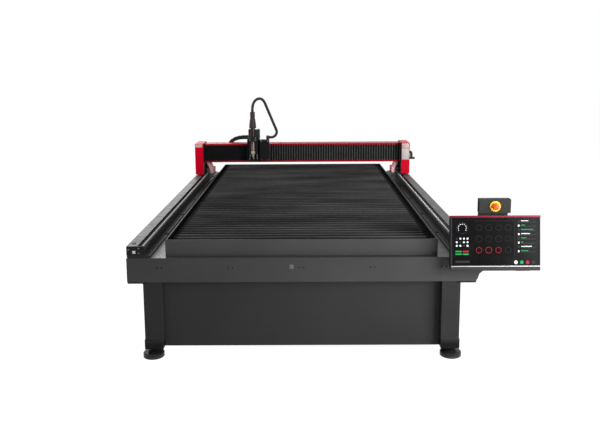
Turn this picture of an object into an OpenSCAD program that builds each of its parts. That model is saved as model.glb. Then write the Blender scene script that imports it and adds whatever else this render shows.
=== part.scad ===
// CNC plasma cutting table: a water table with slats between two driven side rails,
// a travelling gantry with a torch lifter, and a touch console at the right front corner.
// Origin: middle of the table on the floor, X across, Y from the operator to the back, Z up.

/* [Table frame] */
// Length of the frame over both aprons
frame_l = 3400; // [3360:10:3800]
// Width of the frame over its side beams
frame_w = 2108; // [2090:2:2200]
// Height of the frame's top above the floor
frame_h = 640; // [600:5:760]
// Height of the aprons and side beams
apron_h = 150; // [130:2:180]
// Thickness of apron, skirt and pan sheet
sheet_t = 4; // [3:0.5:6]
// Depth of the aprons' folded flanges
apron_flange = 80; // [70:2:100]
// Width of the box side beams
side_beam_w = 240; // [236:2:260]
// Wall of the side beams, cross beams and legs
tube_t = 6; // [4:0.5:8]
// Width of the cross beams
cross_beam_w = 80; // [60:2:100]
// Height of the cross beams
cross_beam_h = 100; // [80:2:120]
// Distance of the outer cross beams from the frame's ends
cross_beam_end = 430; // [400:5:560]
// Diameter of the spare fixing holes in the aprons
apron_hole_d = 8; // [5:0.5:12]

/* [Legs and feet] */
// Width of the square legs
leg_w = 112; // [100:2:120]
// Set-in of the legs from the frame's sides
leg_inset = 93; // [80:1:100]
// Set-back of the legs from the aprons' faces
leg_setback = 8; // [6:1:20]
// Thickness of the plates on the legs' heads
head_plate_t = 12; // [8:1:16]
// Height of the legs' undersides above the floor
leg_clear = 61; // [60:1:90]
// Diameter of the levelling feet
foot_d = 130; // [124:2:150]
// Thickness of the rubber pads
pad_t = 14; // [10:1:16]
// Height of the domed foot caps
cap_h = 32; // [28:1:34]
// Height of the thicker bands round the legs' lower ends
band_h = 60; // [40:1:90]
// Diameter of the feet's threaded stems
stem_d = 24; // [16:1:30]
// Distance of the feet's stems outwards from the legs' middles
foot_out = 15; // [0:1:20]
// Diameter of the floor anchor holes
anchor_d = 13; // [9:0.5:18]
// Distance of an anchor hole from its foot's stem
anchor_offset = 52; // [50:1:54]
// Height of the skirts' lower edges above the floor
skirt_clear = 62; // [50:1:90]
// Set-back of the skirts from the legs' faces
skirt_setback = 54; // [30:1:70]
// Depth of the skirts' folded edges
skirt_fold = 22; // [15:1:30]

/* [Water pan and slats] */
// Gap between the water pan and the foot of a rail
pan_gap = 86; // [81:1:91]
// Set-back of the pan from the rear apron's face
pan_rear = 124; // [60:2:300]
// Depth of the water pan
pan_h = 102; // [95:1:130]
// Set-back of the pan from the front apron's face
pan_setback = 46; // [40:1:60]
// Gap between the slats' ends and the pan's sides
slat_gap = 42; // [25:1:75]
// Thickness of a slat
slat_t = 4.8; // [3:0.2:6]
// Height of a slat
slat_h = 90; // [80:1:92]
// Spacing of the slats
slat_pitch = 63.5; // [50:0.5:90]
// Height of the slats' tops above the pan's rim
slat_proud = 3; // [0:0.5:6]
// Thickness of the slotted slat holders
comb_t = 6; // [4:0.5:10]
// Depth of the holders' slots
comb_slot = 44; // [30:1:60]

/* [Side rails] */
// Width of a rail over its wall and rack
rail_w = 112; // [112:1:116]
// Height of a rail's top above the frame
rail_h = 71; // [71:1:76]
// Set-back of the rail ends from the apron faces
rail_setback = 12; // [8:1:20]
// Thickness of a rail's foot
rail_foot_t = 14; // [12:0.5:14]
// Width of a rail's top cover
rail_cover_w = 65; // [60:1:68]
// Thickness of covers and end caps
cover_t = 3; // [2:0.5:4]
// Width of the profiled guides
guide_w = 20; // [18:1:22]
// Height of the profiled guides
guide_h = 18; // [16:1:18]
// Width of the gear racks and pinions
rack_w = 20; // [16:1:20]
// Tooth module of the side racks
rack_module = 3; // [2.5:0.1:3.2]
// Teeth on a side pinion
pinion_teeth = 24; // [22:1:25]

/* [Gantry] */
// Distance of the gantry's front from the rear apron's face at rest
gantry_y = 698; // [500:1:2800]
// Gap between the frame's top and the uprights
upright_clear = 85; // [85:1:100]
// Height of the uprights
upright_h = 302; // [300:1:360]
// Width of the uprights' covers
upright_w = 72; // [70:1:74]
// Depth of the uprights above their feet
upright_d = 255; // [254:1:256]
// Depth of the uprights' feet
upright_foot_d = 270; // [266:1:300]
// Thickness of the structural end plates
end_plate_t = 10; // [8:0.5:12]
// Set-back of the beam's face from the uprights' fronts
beam_setback = 150; // [150:1:152]
// Depth of the beam
beam_d = 100; // [90:1:102]
// Height of the beam
beam_h = 180; // [180:1:184]
// Tooth module of the beam's rack
beam_rack_module = 2; // [1.5:0.1:2]
// Teeth on the cross pinion
cross_pinion_teeth = 20; // [18:1:20]
// Folds in each bellows
bellows_folds = 52; // [20:1:60]
// Depth of the bellows' folds
bellows_d = 19; // [12:1:19]
// Fabric thickness of the bellows
bellows_t = 0.9; // [0.5:0.1:1.2]
// Spacing of the cable chain's links
chain_pitch = 40; // [38:1:42]
// Height of a chain link
chain_h = 36; // [30:1:36]
// Width of a chain link
chain_w = 60; // [40:1:64]

/* [Torch carriage] */
// Torch position across the table at rest
torch_x = -481; // [-700:1:500]
// Width of the carriage
carriage_w = 216; // [212:1:230]
// Width of the lifter
lifter_w = 120; // [118:1:122]
// Depth of the lifter frame
lifter_d = 60; // [56:1:62]
// Diameter of the lift screw and guide rods
rod_d = 12; // [10:0.5:14]
// Diameter of the torch barrel
torch_d = 44; // [38:1:50]
// Height of the torch tip above the beam's underside at rest
tip_rise = 63; // [61:1:68]
// Diameter of the torch lead
lead_d = 26; // [20:1:28]
// Radial running clearance of shafts
run_gap = 0.05; // [0.02:0.01:0.1]

/* [Console] */
// Distance of the console's middle beyond the frame's side
console_out = 84; // [76:1:146]
// Width of the monitor
monitor_w = 528; // [480:2:560]
// Height of the monitor
monitor_h = 324; // [300:2:360]
// Depth of the monitor
monitor_d = 38; // [30:1:42]
// Drop of the monitor's lower edge below the frame's top
monitor_drop = 57; // [0:1:70]
// Backward tilt of the monitor
monitor_tilt = 8; // [4:0.5:12]
// Width of the stop button's box
stop_box_w = 186; // [150:2:200]
// Diameter of the stop button
stop_d = 40; // [30:1:44]

/* [Hidden] */
$fn = 48;

// A hair's breadth that cuts run past a face
cut = 1;
charcoal = "#3c3d3f";
dark = "#1d1d1f";
red = "#c4102c";
steel = "#a9acb0";
pale = "#b9babb";

// Table frame places
half_w = frame_w / 2;
half_l = frame_l / 2;
apron_z = frame_h - apron_h;
beam_inner_x = half_w - side_beam_w;
apron_hole_step = 428;
apron_hole_gap = 28;
apron_hole_z = apron_z + apron_h * 0.6;
cross_beam_step = (frame_l - 2 * cross_beam_end) / 4;
cross_ys = [for (i = [-2:2]) i * cross_beam_step];

// Leg and foot places
leg_x = half_w - leg_inset - leg_w / 2;
leg_y = half_l - leg_setback - leg_w / 2;
leg_top = apron_z - head_plate_t;
leg_spots = [for (x = [-leg_x, leg_x], y = [-leg_y, 0, leg_y]) [x, y]];
function stem_x(x) = x + foot_out * sign(x);
function stem_y(y) = y + foot_fore * sign(y);
foot_fore = 12;
band_t = 4;
nut_h = 10;
nut_d = 42;
stem_up = 40;
fit_gap = 0.3;

// Pan and slat places
foot_step = 11;
foot_lip = 20;
pan_y0 = pan_setback - half_l;
pan_y1 = half_l - pan_rear;
pan_l = pan_y1 - pan_y0;
pan_x = half_w - rail_w - foot_step - foot_lip - pan_gap;
slat_l = 2 * (pan_x - slat_gap);
rim_z = frame_h + pan_h;
rim_fold = 10;
slat_top = rim_z + slat_proud;
slat_z = slat_top - slat_h;
slat_margin = 46;
slat_count = floor((pan_l - 2 * slat_margin) / slat_pitch) + 1;
slat_y0 = (pan_y0 + pan_y1) / 2 - (slat_count - 1) * slat_pitch / 2;
comb_gap = 0.4;
comb_inset = 22;
comb_xs = [comb_inset + comb_t - slat_l / 2, comb_t / 2, slat_l / 2 - comb_inset];
drain_x = -420;
drain_y = 1.5 * cross_beam_step;
drain_r = 20;
drain_wall = 4;
valve_z = frame_h - 120;
valve_stem_r = 8;
lever_t = 5;
lever_l = 140;
lever_y = drain_y - drain_r - drain_wall - 30;

// Drive cabinet sizes
cabinet_w = 260;
cabinet_h = 300;
cabinet_gap = 60;
cabinet_wall = 3;
lid_t = 12;
lid_margin = 15;

// Rail places, measured inwards from the rail's outer face
rail_z = frame_h;
rail_y = half_l - rail_setback - 2 * cover_t;
rail_top = rail_z + rail_h;
rail_wall_t = 6;
guide_u = 44;
guide_pad_h = 10;
guide_z = rail_z + rail_foot_t + guide_pad_h;
rack_u = rail_w - rack_w;
rack_h = 21;
cover_hole_d = 20;
foot_lip_t = 4;
rack_x = half_w - rail_w + rack_w / 2;
pitch_line_z = rail_top - rack_module;
pinion_r = rack_module * pinion_teeth / 2;
pinion_z = pitch_line_z + pinion_r;
pressure = 20;
dedendum = 1.25;
backlash = 0.4;

// Bearing block sizes
block_w = 44;
block_h = 24;
block_l = 78;
block_rise = 30;
block_top = guide_z + block_rise;

// Gantry places
gantry_at = half_l - gantry_y;
upright_x1 = half_w - 2;
upright_x0 = upright_x1 - upright_w;
end_x0 = upright_x0 - end_plate_t;
upright_z0 = rail_z + upright_clear;
upright_z1 = upright_z0 + upright_h;
knee_z = upright_z0 + 85;
knee_drop = 40;
shelf_t = 8;
shelf_margin = 20;
beam_z1 = upright_z1 - 15;
beam_z0 = beam_z1 - beam_h;
beam_y1 = beam_setback + beam_d;
lip_y = beam_setback - 45;
lip_top_h = 14;
lip_low_h = 13;
beam_guide_zs = [beam_z0 + 36, beam_z1 - 36];
beam_rack_z = beam_z0 + 60;
beam_rack_h = 16.5;
beam_pitch_z = beam_rack_z + beam_rack_h - beam_rack_module;
cross_r = beam_rack_module * cross_pinion_teeth / 2;
cross_z = beam_pitch_z + cross_r;
pinion_y = 200;
shaft_d = 16;
gearbox_s = 56;
motor_s = 60;
motor_h = 128;
truck_ys = [35, upright_foot_d - 35 - block_l];
guard_reach = 76;
guard_top = 40;
guard_rim = 30;
guard_half_l = 55;
guard_drop = 30;
guard_low_h = 31;
guard_clear = 14;
bellows_y = lip_y + 5;
bellows_z0 = beam_z0 + 10;
bellows_z1 = beam_z1 - 12;

// Cable chain places, with the turn of each moving link against the one before it
chain_z = beam_z1 + 49;
chain_y = beam_y1 + 12;
chain_plate_t = 3;
chain_slack = 0.4;
chain_gap = 3;
chain_turns = [0, 6, 10, 14, 18, 24, 28, 28, 26, 26];
function chain_angle(i) = i < 0 ? 0 : chain_turns[i] + chain_angle(i - 1);
function chain_pin(i) =
    let (a = chain_angle(i - 1))
    i == 0 ? [0, 0] : chain_pin(i - 1) - chain_pitch * [cos(a), sin(a)];
loop_drop = -chain_pin(len(chain_turns))[1];
tray_t = 2;
tray_wall = 84;
tray_z = chain_z - loop_drop - chain_h * 1.5 - tray_t - chain_gap;
tray_x0 = 60 - end_x0;
tray_x1 = 700;
run_links = floor((tray_x1 - tray_x0 - 2 * tray_t) / chain_pitch) - 1;

// Carriage places, measured from the torch across and the uprights' front inwards
car_x0 = -lifter_w / 2;
car_x1 = car_x0 + carriage_w;
car_y1 = beam_setback - block_rise;
spacer_t = 20;
plate_t = 12;
car_y0 = car_y1 - spacer_t - plate_t;
car_z0 = beam_z0 + 21;
car_z1 = beam_z1 + 61;
car_block_l = 70;
car_block_xs = [car_x0 + 10, car_x1 - 10 - car_block_l];
spacer_z0 = beam_z0 + lip_low_h + 5;
spacer_z1 = beam_z1 - lip_top_h - 2;
motor_x = car_x1 - 52;
cross_shaft_d = 10;
cross_motor_s = 56;
cross_motor_l = 80;
box_x0 = car_x0 + lifter_w + 6;
box_t = 2.5;
box_y0 = car_y0 - 88;
box_z0 = car_z0 + 4;
box_z1 = car_z1 - 12;
plate_step_z = box_z1 - 4;
lifter_y0 = car_y0 - lifter_d;
lifter_z1 = car_z1 - 4;
lifter_wall = 6;
lifter_end_t = 10;
rod_y = car_y0 - 32;
rod_step = 36;
lift_motor_h = 93;
lift_motor_x0 = car_x0 + 13;
lift_motor_x1 = lift_motor_x0 + 112;

// Lift and torch places
nut_block_h = 40;
nut_block_z = lifter_z1 - lifter_end_t - 5 - nut_block_h;
slide_y1 = lifter_y0 - 2;
slide_t = 8;
slide_y0 = slide_y1 - slide_t;
slide_w = 90;
slide_z0 = nut_block_z - 92;
torch_y = slide_y0 - 30;
clamp_w = 70;
clamp_h = 46;
clamp_z = nut_block_z + nut_block_h;
slide_z1 = clamp_z + clamp_h + 2;
nozzle_h = 60;
tip_z = beam_z0 + tip_rise;
barrel_z0 = tip_z + nozzle_h;
boot_z0 = tip_z + 285;
boot_z1 = boot_z0 + 156;
barrel_z1 = boot_z0 + 10;
boot_r0 = 34.5;
boot_r1 = 24.5;

// Torch lead route from the boot over to the gland, from the torch's axis and the boot's top
lead_start = [0, torch_y, boot_z1];
lead_points = [
    [0, 0, 0], [0, 0, 24], [2, 0, 50], [8, 1, 76], [20, 3, 100], [38, 6, 118], [60, 10, 128],
    [84, 14, 126], [103, 18, 113], [117, 22, 92], [129, 26, 64], [142, 30, 32], [158, 34, -8],
    [176, 39, -52], [193, 44, -94], [208, 48, -132], [219, 51, -158], [227, 53, -178], [231, 54, -194],
    [229, 55, -212], [221, 55, -229], [208, 56, -242], [191, 56, -250], [174, 56, -252], [158, 56, -252]
];
lead_sides = 12;
gland_at = lead_start + lead_points[len(lead_points) - 1];
gland_l = 30;
gland_r = 18;

// Console places
console_x = half_w + console_out;
console_y = -half_l;
monitor_z = frame_h - monitor_drop;
stand_w = 177;
monitor_fore = 97;
bracket_l = 130;
bracket_run = 46;
bracket_rise = 75;
stand_t = 6;
stand_z1 = monitor_z + monitor_h + 6;
bezel = 12;
bezel_foot = 26;
glass_t = 3;
glass_sink = 1;
stop_box_h = 84;
stop_box_d = 44;
stop_x = console_x + 4;
stop_z = stand_z1 + stop_box_h / 2;
stop_y = console_y - 26;
collar_d = 62;
collar_t = 4;
stop_travel = 6;
stop_stem_d = 22;

// Places a 2D outline drawn in (X, Z) along Y
module along_y(y0, y1) {
    translate([0, y1, 0])
        rotate([90, 0, 0])
            linear_extrude(y1 - y0) children();
}

// Places a 2D outline drawn in (Y, Z) along X
module along_x(x0, x1) {
    translate([x0, 0, 0])
        rotate([90, 0, 90])
            linear_extrude(x1 - x0) children();
}

// A box given by two corners
module block(a, b) {
    translate(a) cube(b - a);
}

// The drawn shape and its mirror image across the table
module both_sides() {
    children();
    mirror([1, 0, 0]) children();
}

// The drawn shape and its mirror image along the table
module both_ends() {
    children();
    mirror([0, 1, 0]) children();
}

// A rectangle with round corners, from its lower left corner
module round_rect(w, h, r) {
    translate([r, 0]) square([w - 2 * r, h]);
    translate([0, r]) square([w, h - 2 * r]);
    for (x = [r, w - r], y = [r, h - r])
        translate([x, y]) circle(r);
}

module at_gantry() {
    translate([0, gantry_at, 0]) children();
}

module at_carriage() {
    translate([torch_x, gantry_at, 0]) children();
}

// Straight tooth rack seen from its side: teeth up, a tooth centred on 0, pitch line at height
function tooth_pitch(m) = PI * m;
function rack_outline(m, x0, x1, base, line) =
    let (p = tooth_pitch(m), half = p / 4 - backlash / 4,
         k0 = ceil((x0 + p / 2) / p), k1 = floor((x1 - p / 2) / p),
         tip = half - m * tan(pressure), root = half + dedendum * m * tan(pressure),
         tooth = [[-root, -dedendum], [-tip, 1], [tip, 1], [root, -dedendum]])
    concat(
        [[x0, base], [x0, line - dedendum * m]],
        [for (k = [k0:k1], c = tooth) [k * p + c[0], line + m * c[1]]],
        [[x1, line - dedendum * m], [x1, base]]
    );

// Involute gear outline with a tooth gap pointing straight down
function roll_angle(r, base_r) =
    let (t = sqrt(max(0, pow(r / base_r, 2) - 1))) t * 180 / PI - atan(t);
function gear_flank(m, teeth) =
    let (r = m * teeth / 2, base_r = r * cos(pressure), tip_r = r + m, root_r = r - dedendum * m,
         half = 90 / teeth - backlash / 4 / r * 180 / PI + roll_angle(r, base_r))
    concat(
        [[root_r, half]],
        [for (i = [0:3]) let (q = base_r + (tip_r - base_r) * i / 3) [q, half - roll_angle(q, base_r)]]
    );
function gear_outline(m, teeth) =
    let (flank = gear_flank(m, teeth), last = len(flank) - 1)
    [for (k = [0:teeth - 1], s = [-1, 1], i = [0:last])
        let (f = flank[s < 0 ? i : last - i], a = -90 + (k + 0.5) * 360 / teeth + s * f[1])
        [f[0] * cos(a), f[0] * sin(a)]];

// Profiled guide seen from its end, standing on 0
module guide_outline() {
    w = guide_w / 2;
    neck = w - 2.5;
    polygon([
        [-w, 0], [-w, 6], [-neck, 8.5], [-neck, 11], [-w, 13.5], [-w, guide_h - 2], [2 - w, guide_h],
        [w - 2, guide_h], [w, guide_h - 2], [w, 13.5], [neck, 11], [neck, 8.5], [w, 6], [w, 0]
    ]);
}

// Bearing block seen from its end, on the guide above
module bearing_outline() {
    difference() {
        translate([-block_w / 2, block_rise - block_h]) round_rect(block_w, block_h, 3);
        translate([-guide_w / 2 - fit_gap, 0]) square([guide_w + 2 * fit_gap, guide_h + fit_gap]);
    }
}

// Folded box apron with fixing holes, front face at the frame's end
module apron() {
    inner = beam_inner_x;
    back = apron_flange - half_l;
    difference() {
        union() {
            block([-half_w, -half_l, apron_z], [half_w, sheet_t - half_l, frame_h]);
            block([-inner, -half_l, frame_h - sheet_t], [inner, back, frame_h]);
            block([-inner, -half_l, apron_z], [inner, back, apron_z + sheet_t]);
            block([-inner, back - sheet_t, apron_z], [inner, back, frame_h]);
        }
        for (k = [-2:2], s = [-1, 1])
            translate([k * apron_hole_step + s * apron_hole_gap / 2, -half_l - cut, apron_hole_z])
                rotate([-90, 0, 0]) cylinder(d = apron_hole_d, h = sheet_t + 2 * cut);
    }
}

module front_apron() {
    color(charcoal) apron();
}

module rear_apron() {
    color(charcoal) mirror([0, 1, 0]) apron();
}

module side_beams() {
    color(charcoal) both_sides()
        along_y(sheet_t - half_l, half_l - sheet_t)
            translate([beam_inner_x, apron_z]) difference() {
                round_rect(side_beam_w, apron_h, tube_t);
                translate([tube_t, tube_t])
                    square([side_beam_w - 2 * tube_t, apron_h - 2 * tube_t]);
            }
}

module cross_beams() {
    color(charcoal) for (y = cross_ys)
        along_x(-beam_inner_x, beam_inner_x)
            translate([y - cross_beam_w / 2, frame_h - cross_beam_h]) difference() {
                square([cross_beam_w, cross_beam_h]);
                translate([tube_t, tube_t])
                    square([cross_beam_w - 2 * tube_t, cross_beam_h - 2 * tube_t]);
            }
}

// Square tube leg: a head plate that reaches out under the side beam, a band and a drilled foot plate
module leg(x, y) {
    out = x > 0 ? 1 : -1;
    reach = half_w - leg_x;
    translate([x, y, 0]) difference() {
        union() {
            block([-leg_w / 2, -leg_w / 2, leg_clear], [leg_w / 2, leg_w / 2, leg_top]);
            block([out > 0 ? -leg_w / 2 : -reach, -leg_w / 2, leg_top],
                  [out > 0 ? reach : leg_w / 2, leg_w / 2, apron_z]);
            block([out > 0 ? -leg_w / 2 : -leg_w / 2 - band_t, -leg_w / 2 - band_t, leg_clear],
                  [out > 0 ? leg_w / 2 + band_t : leg_w / 2, leg_w / 2 + band_t, leg_clear + band_h]);
        }
        block([tube_t - leg_w / 2, tube_t - leg_w / 2, leg_clear + head_plate_t],
              [leg_w / 2 - tube_t, leg_w / 2 - tube_t, leg_top]);
        translate([stem_x(x) - x, stem_y(y) - y, leg_clear - cut])
            cylinder(d = stem_d + 2 * fit_gap, h = head_plate_t + 2 * cut);
    }
}

module legs() {
    color(charcoal) for (p = leg_spots)
        leg(p[0], p[1]);
}

// Anchor hole of the foot at a leg, outside the leg where a bolt can be turned
module anchor_hole(x) {
    translate([x > 0 ? anchor_offset : -anchor_offset, 0, -cut])
        cylinder(d = anchor_d, h = pad_t + cap_h + 2 * cut);
}

// Domed steel cap with its stem and jam nut
module foot(x) {
    r = foot_d / 2;
    stem_h = leg_clear - pad_t - cap_h + head_plate_t + stem_up;
    difference() {
        union() {
            translate([0, 0, pad_t]) rotate_extrude() polygon([
                [0, 0], [r, 0], [r, 12], [r - 6, 18], [r - 22, cap_h - 8],
                [nut_d / 2 + 3, cap_h], [0, cap_h]
            ]);
            translate([0, 0, pad_t + cap_h]) cylinder(d = stem_d, h = stem_h);
            translate([0, 0, leg_clear - nut_h]) cylinder(d = nut_d, h = nut_h, $fn = 6);
        }
        anchor_hole(x);
    }
}

module leveling_feet() {
    color("#2b2b2c") for (p = leg_spots)
        translate([stem_x(p[0]), stem_y(p[1]), 0]) foot(p[0]);
}

module foot_pads() {
    r = foot_d / 2;
    color("#151515") for (p = leg_spots)
        translate([stem_x(p[0]), stem_y(p[1]), 0]) difference() {
            rotate_extrude() polygon([[0, 0], [r - 3, 0], [r, 3], [r, pad_t], [0, pad_t]]);
            anchor_hole(p[0]);
        }
}

// Folded closing panels between the end legs
module skirt_panels() {
    inner = leg_x - leg_w / 2;
    y0 = leg_setback + skirt_setback - half_l;
    color(charcoal) both_ends() difference() {
        block([-inner, y0, skirt_clear], [inner, y0 + skirt_fold, apron_z]);
        block([sheet_t - inner, y0 + sheet_t, skirt_clear + sheet_t],
              [inner - sheet_t, y0 + skirt_fold + cut, apron_z - sheet_t]);
    }
}

// Water pan with a folded rim and a drain hole
module water_pan() {
    color(charcoal) difference() {
        block([-pan_x, pan_y0, frame_h], [pan_x, pan_y1, rim_z]);
        block([sheet_t - pan_x, pan_y0 + sheet_t, frame_h + sheet_t],
              [pan_x - sheet_t, pan_y1 - sheet_t, rim_z - sheet_t]);
        block([rim_fold - pan_x, pan_y0 + rim_fold, frame_h + pan_h / 2],
              [pan_x - rim_fold, pan_y1 - rim_fold, rim_z + cut]);
        translate([drain_x, drain_y, frame_h - cut]) cylinder(r = drain_r, h = sheet_t + 2 * cut);
    }
}

// Slotted bars that hold the slats upright
module slat_combs() {
    z0 = frame_h + sheet_t;
    z1 = slat_z + comb_slot;
    w = slat_t / 2 + comb_gap;
    y_end = slat_y0 + (slat_count - 1) * slat_pitch;
    color(dark) for (x = comb_xs)
        along_x(x - comb_t, x) polygon(concat(
            [[pan_y0 + sheet_t, z0], [pan_y0 + sheet_t, z1]],
            [for (i = [0:slat_count - 1], c = [[-w, z1], [-w, slat_z], [w, slat_z], [w, z1]])
                [slat_y0 + i * slat_pitch + c[0], c[1]]],
            [[pan_y1 - sheet_t, z1], [pan_y1 - sheet_t, z0]]
        ));
}

module slats() {
    color("#4a4a4c") for (i = [0:slat_count - 1])
        translate([-slat_l / 2, slat_y0 + i * slat_pitch - slat_t / 2, slat_z])
            cube([slat_l, slat_t, slat_h]);
}

// Rail extrusion: foot, outer wall, guide pad and the web that carries the rack
module rail_outline() {
    pad = guide_w / 2;
    polygon([for (p = [
        [0, 0], [0, rail_h - cover_t], [rail_wall_t, rail_h - cover_t], [rail_wall_t, rail_foot_t],
        [guide_u - pad, rail_foot_t], [guide_u - pad, rail_foot_t + guide_pad_h],
        [guide_u + pad, rail_foot_t + guide_pad_h], [guide_u + pad, rail_foot_t],
        [rack_u, rail_foot_t], [rack_u, rail_h - rack_h], [rail_w, rail_h - rack_h], [rail_w, rail_foot_t],
        [rail_w + foot_step, rail_foot_t], [rail_w + foot_step, rail_foot_t - foot_lip_t],
        [rail_w + foot_step + foot_lip, rail_foot_t - foot_lip_t], [rail_w + foot_step + foot_lip, 0]
    ]) [half_w - p[0], rail_z + p[1]]]);
}

module rail_beams() {
    color("#4b4c4f") both_sides() along_y(-rail_y, rail_y) rail_outline();
}

// Light top covers with a screw hole near each end
module rail_covers() {
    hole_y = rail_y - 60;
    color(pale) both_sides() difference() {
        along_y(-rail_y, rail_y) polygon([for (p = [
            [0, rail_h - cover_t], [0, rail_h], [rail_cover_w, rail_h], [rail_cover_w, rail_h - 2 * cover_t],
            [rail_cover_w - cover_t, rail_h - 2 * cover_t], [rail_cover_w - cover_t, rail_h - cover_t]
        ]) [half_w - p[0], rail_z + p[1]]]);
        for (y = [-hole_y, hole_y])
            translate([half_w - rail_cover_w / 2, y, rail_top - 2 * cover_t])
                cylinder(d = cover_hole_d, h = 3 * cover_t);
    }
}

module guide_rails() {
    color(steel) both_sides()
        along_y(-rail_y, rail_y) translate([half_w - guide_u, guide_z]) guide_outline();
}

// Gear racks along both rails, teeth up, in mesh with the pinions at rest
module rail_racks() {
    yp = gantry_at + pinion_y;
    base = rail_top - rack_h;
    color("#6f7073") both_sides()
        along_x(rack_x - rack_w / 2, rack_x + rack_w / 2)
            translate([yp, 0])
                polygon(rack_outline(rack_module, -rail_y - yp, rail_y - yp, base, pitch_line_z));
}

// End caps of the rails with a window at the guide's end
module rail_end_caps() {
    t = 2 * cover_t;
    color(dark) both_sides() both_ends() difference() {
        block([half_w - rail_w, rail_y, rail_z + rail_foot_t], [half_w, rail_y + t, rail_top]);
        block([half_w - guide_u - guide_w / 2 - 1, rail_y - cut, guide_z - 1],
              [half_w - guide_u + guide_w / 2 + 1, rail_y + t + cut, guide_z + guide_h + 1]);
    }
}

// Drain pipe and ball valve below the pan
module drain_valve() {
    pipe_r = drain_r + drain_wall;
    pipe_l = 200;
    color("#b08d3c") translate([drain_x, drain_y, 0]) difference() {
        union() {
            translate([0, 0, frame_h - 10]) cylinder(r = pipe_r + 16, h = 10);
            translate([0, 0, frame_h - pipe_l]) cylinder(r = pipe_r, h = pipe_l);
            translate([0, 0, valve_z - 40]) cylinder(r = pipe_r + 10, h = 80);
            translate([0, 0, valve_z]) rotate([90, 0, 0]) cylinder(r = 2 * valve_stem_r, h = pipe_r + 20);
            translate([0, 0, valve_z]) rotate([90, 0, 0]) cylinder(r = valve_stem_r, h = pipe_r + 34);
        }
        translate([0, 0, frame_h - pipe_l - cut]) cylinder(r = drain_r, h = pipe_l + 2 * cut);
    }
}

// Valve lever on the stem, across the pipe when shut
module drain_lever() {
    w = 11;
    color(red) translate([drain_x, 0, valve_z])
        along_y(lever_y - lever_t, lever_y) difference() {
            union() {
                circle(18);
                translate([0, -w]) square([lever_l, 2 * w]);
                translate([lever_l, 0]) circle(w);
            }
            circle(valve_stem_r + run_gap);
        }
}

// Drive cabinet hung from two cross beams, with a shut lid on its outer side
module drive_cabinet() {
    x1 = beam_inner_x - cabinet_gap;
    x0 = x1 - cabinet_w;
    y0 = -cross_beam_step - cross_beam_w / 2;
    y1 = cross_beam_w / 2;
    z1 = frame_h - cross_beam_h;
    z0 = z1 - cabinet_h;
    t = cabinet_wall;
    m = lid_margin;
    color("#55575a") difference() {
        union() {
            block([x0, y0, z0], [x1, y1, z1]);
            block([x1, y0 + m, z0 + m], [x1 + lid_t, y1 - m, z1 - m]);
        }
        block([x0 + t, y0 + t, z0 + t], [x1 - t, y1 - t, z1 - t]);
    }
}

// Where the tilted monitor stands: its lower front edge runs along X through this point
module at_monitor() {
    translate([console_x, console_y - monitor_fore, monitor_z]) rotate([-monitor_tilt, 0, 0]) children();
}

// Arm off the right side beam, chamfered below, with the upright plate behind the monitor
module console_bracket() {
    y0 = console_y + 4;
    pad = 6;
    color(charcoal) {
        block([half_w, y0, apron_z + 10], [half_w + pad, y0 + bracket_l, frame_h - 10]);
        along_y(y0, y0 + stand_t) polygon([
            [half_w + pad, apron_z + 10], [half_w + pad + 12, apron_z + 45],
            [half_w + pad + bracket_run, apron_z + bracket_rise],
            [console_x + stand_w / 2, apron_z + 110], [console_x + stand_w / 2, stand_z1],
            [console_x - stand_w / 2, stand_z1], [console_x - stand_w / 2, rail_top + 20],
            [half_w + pad, rail_top + 20]
        ]);
    }
}

// Monitor housing: rim, back shell and the wedge that meets the upright plate
module monitor_housing() {
    w = monitor_w / 2;
    neck_w = 60;
    color("#2c2d2f") difference() {
        union() {
            at_monitor() {
                along_x(-w, w) polygon([
                    [0, 0], [0, monitor_h], [monitor_d * 0.5, monitor_h], [monitor_d, monitor_h * 0.9],
                    [monitor_d, monitor_h * 0.1], [monitor_d * 0.5, 0]
                ]);
            }
            intersection() {
                at_monitor() block([-neck_w, monitor_d * 0.9, monitor_h * 0.3],
                                   [neck_w, monitor_d + 120, monitor_h * 0.7]);
                block([console_x - 2 * neck_w, console_y - 200, monitor_z],
                      [console_x + 2 * neck_w, console_y + sheet_t, stand_z1]);
            }
        }
        at_monitor() block([bezel - w, -cut, bezel_foot],
                           [w - bezel, glass_t + glass_sink, monitor_h - bezel]);
    }
}

module monitor_screen() {
    w = monitor_w / 2 - bezel - fit_gap;
    color("#0c0d10") at_monitor()
        block([-w, glass_sink, bezel_foot + fit_gap],
              [w, glass_sink + glass_t, monitor_h - bezel - fit_gap]);
}

// Box of the emergency stop on top of the upright plate
module stop_box() {
    w = stop_box_w / 2;
    color("#3a3b3d") difference() {
        translate([stop_x - w, 0, stand_z1])
            along_y(stop_y, stop_y + stop_box_d) round_rect(stop_box_w, stop_box_h, 4);
        translate([stop_x, stop_y - cut, stop_z])
            rotate([-90, 0, 0]) cylinder(d = stop_stem_d + 2 * fit_gap, h = stop_box_d - 6);
    }
}

module stop_collar() {
    color("#e6c21a") translate([stop_x, stop_y - collar_t, stop_z])
        rotate([-90, 0, 0]) difference() {
            cylinder(d = collar_d, h = collar_t);
            translate([0, 0, -cut]) cylinder(d = stop_stem_d + 2 * fit_gap, h = collar_t + 2 * cut);
        }
}

// Mushroom head on its stem, clear of the collar by its travel
module stop_button() {
    lift = stop_travel + 1;
    color("#d01818") translate([stop_x, stop_y - collar_t - lift, stop_z])
        rotate([90, 0, 0]) rotate_extrude() polygon([
            [0, -lift - collar_t - 18], [stop_stem_d / 2, -lift - collar_t - 18], [stop_stem_d / 2, 0],
            [stop_d / 2, 0], [stop_d / 2, 9], [stop_d / 2 - 3, 14], [stop_d / 4, 17], [0, 18]
        ]);
}

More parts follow.
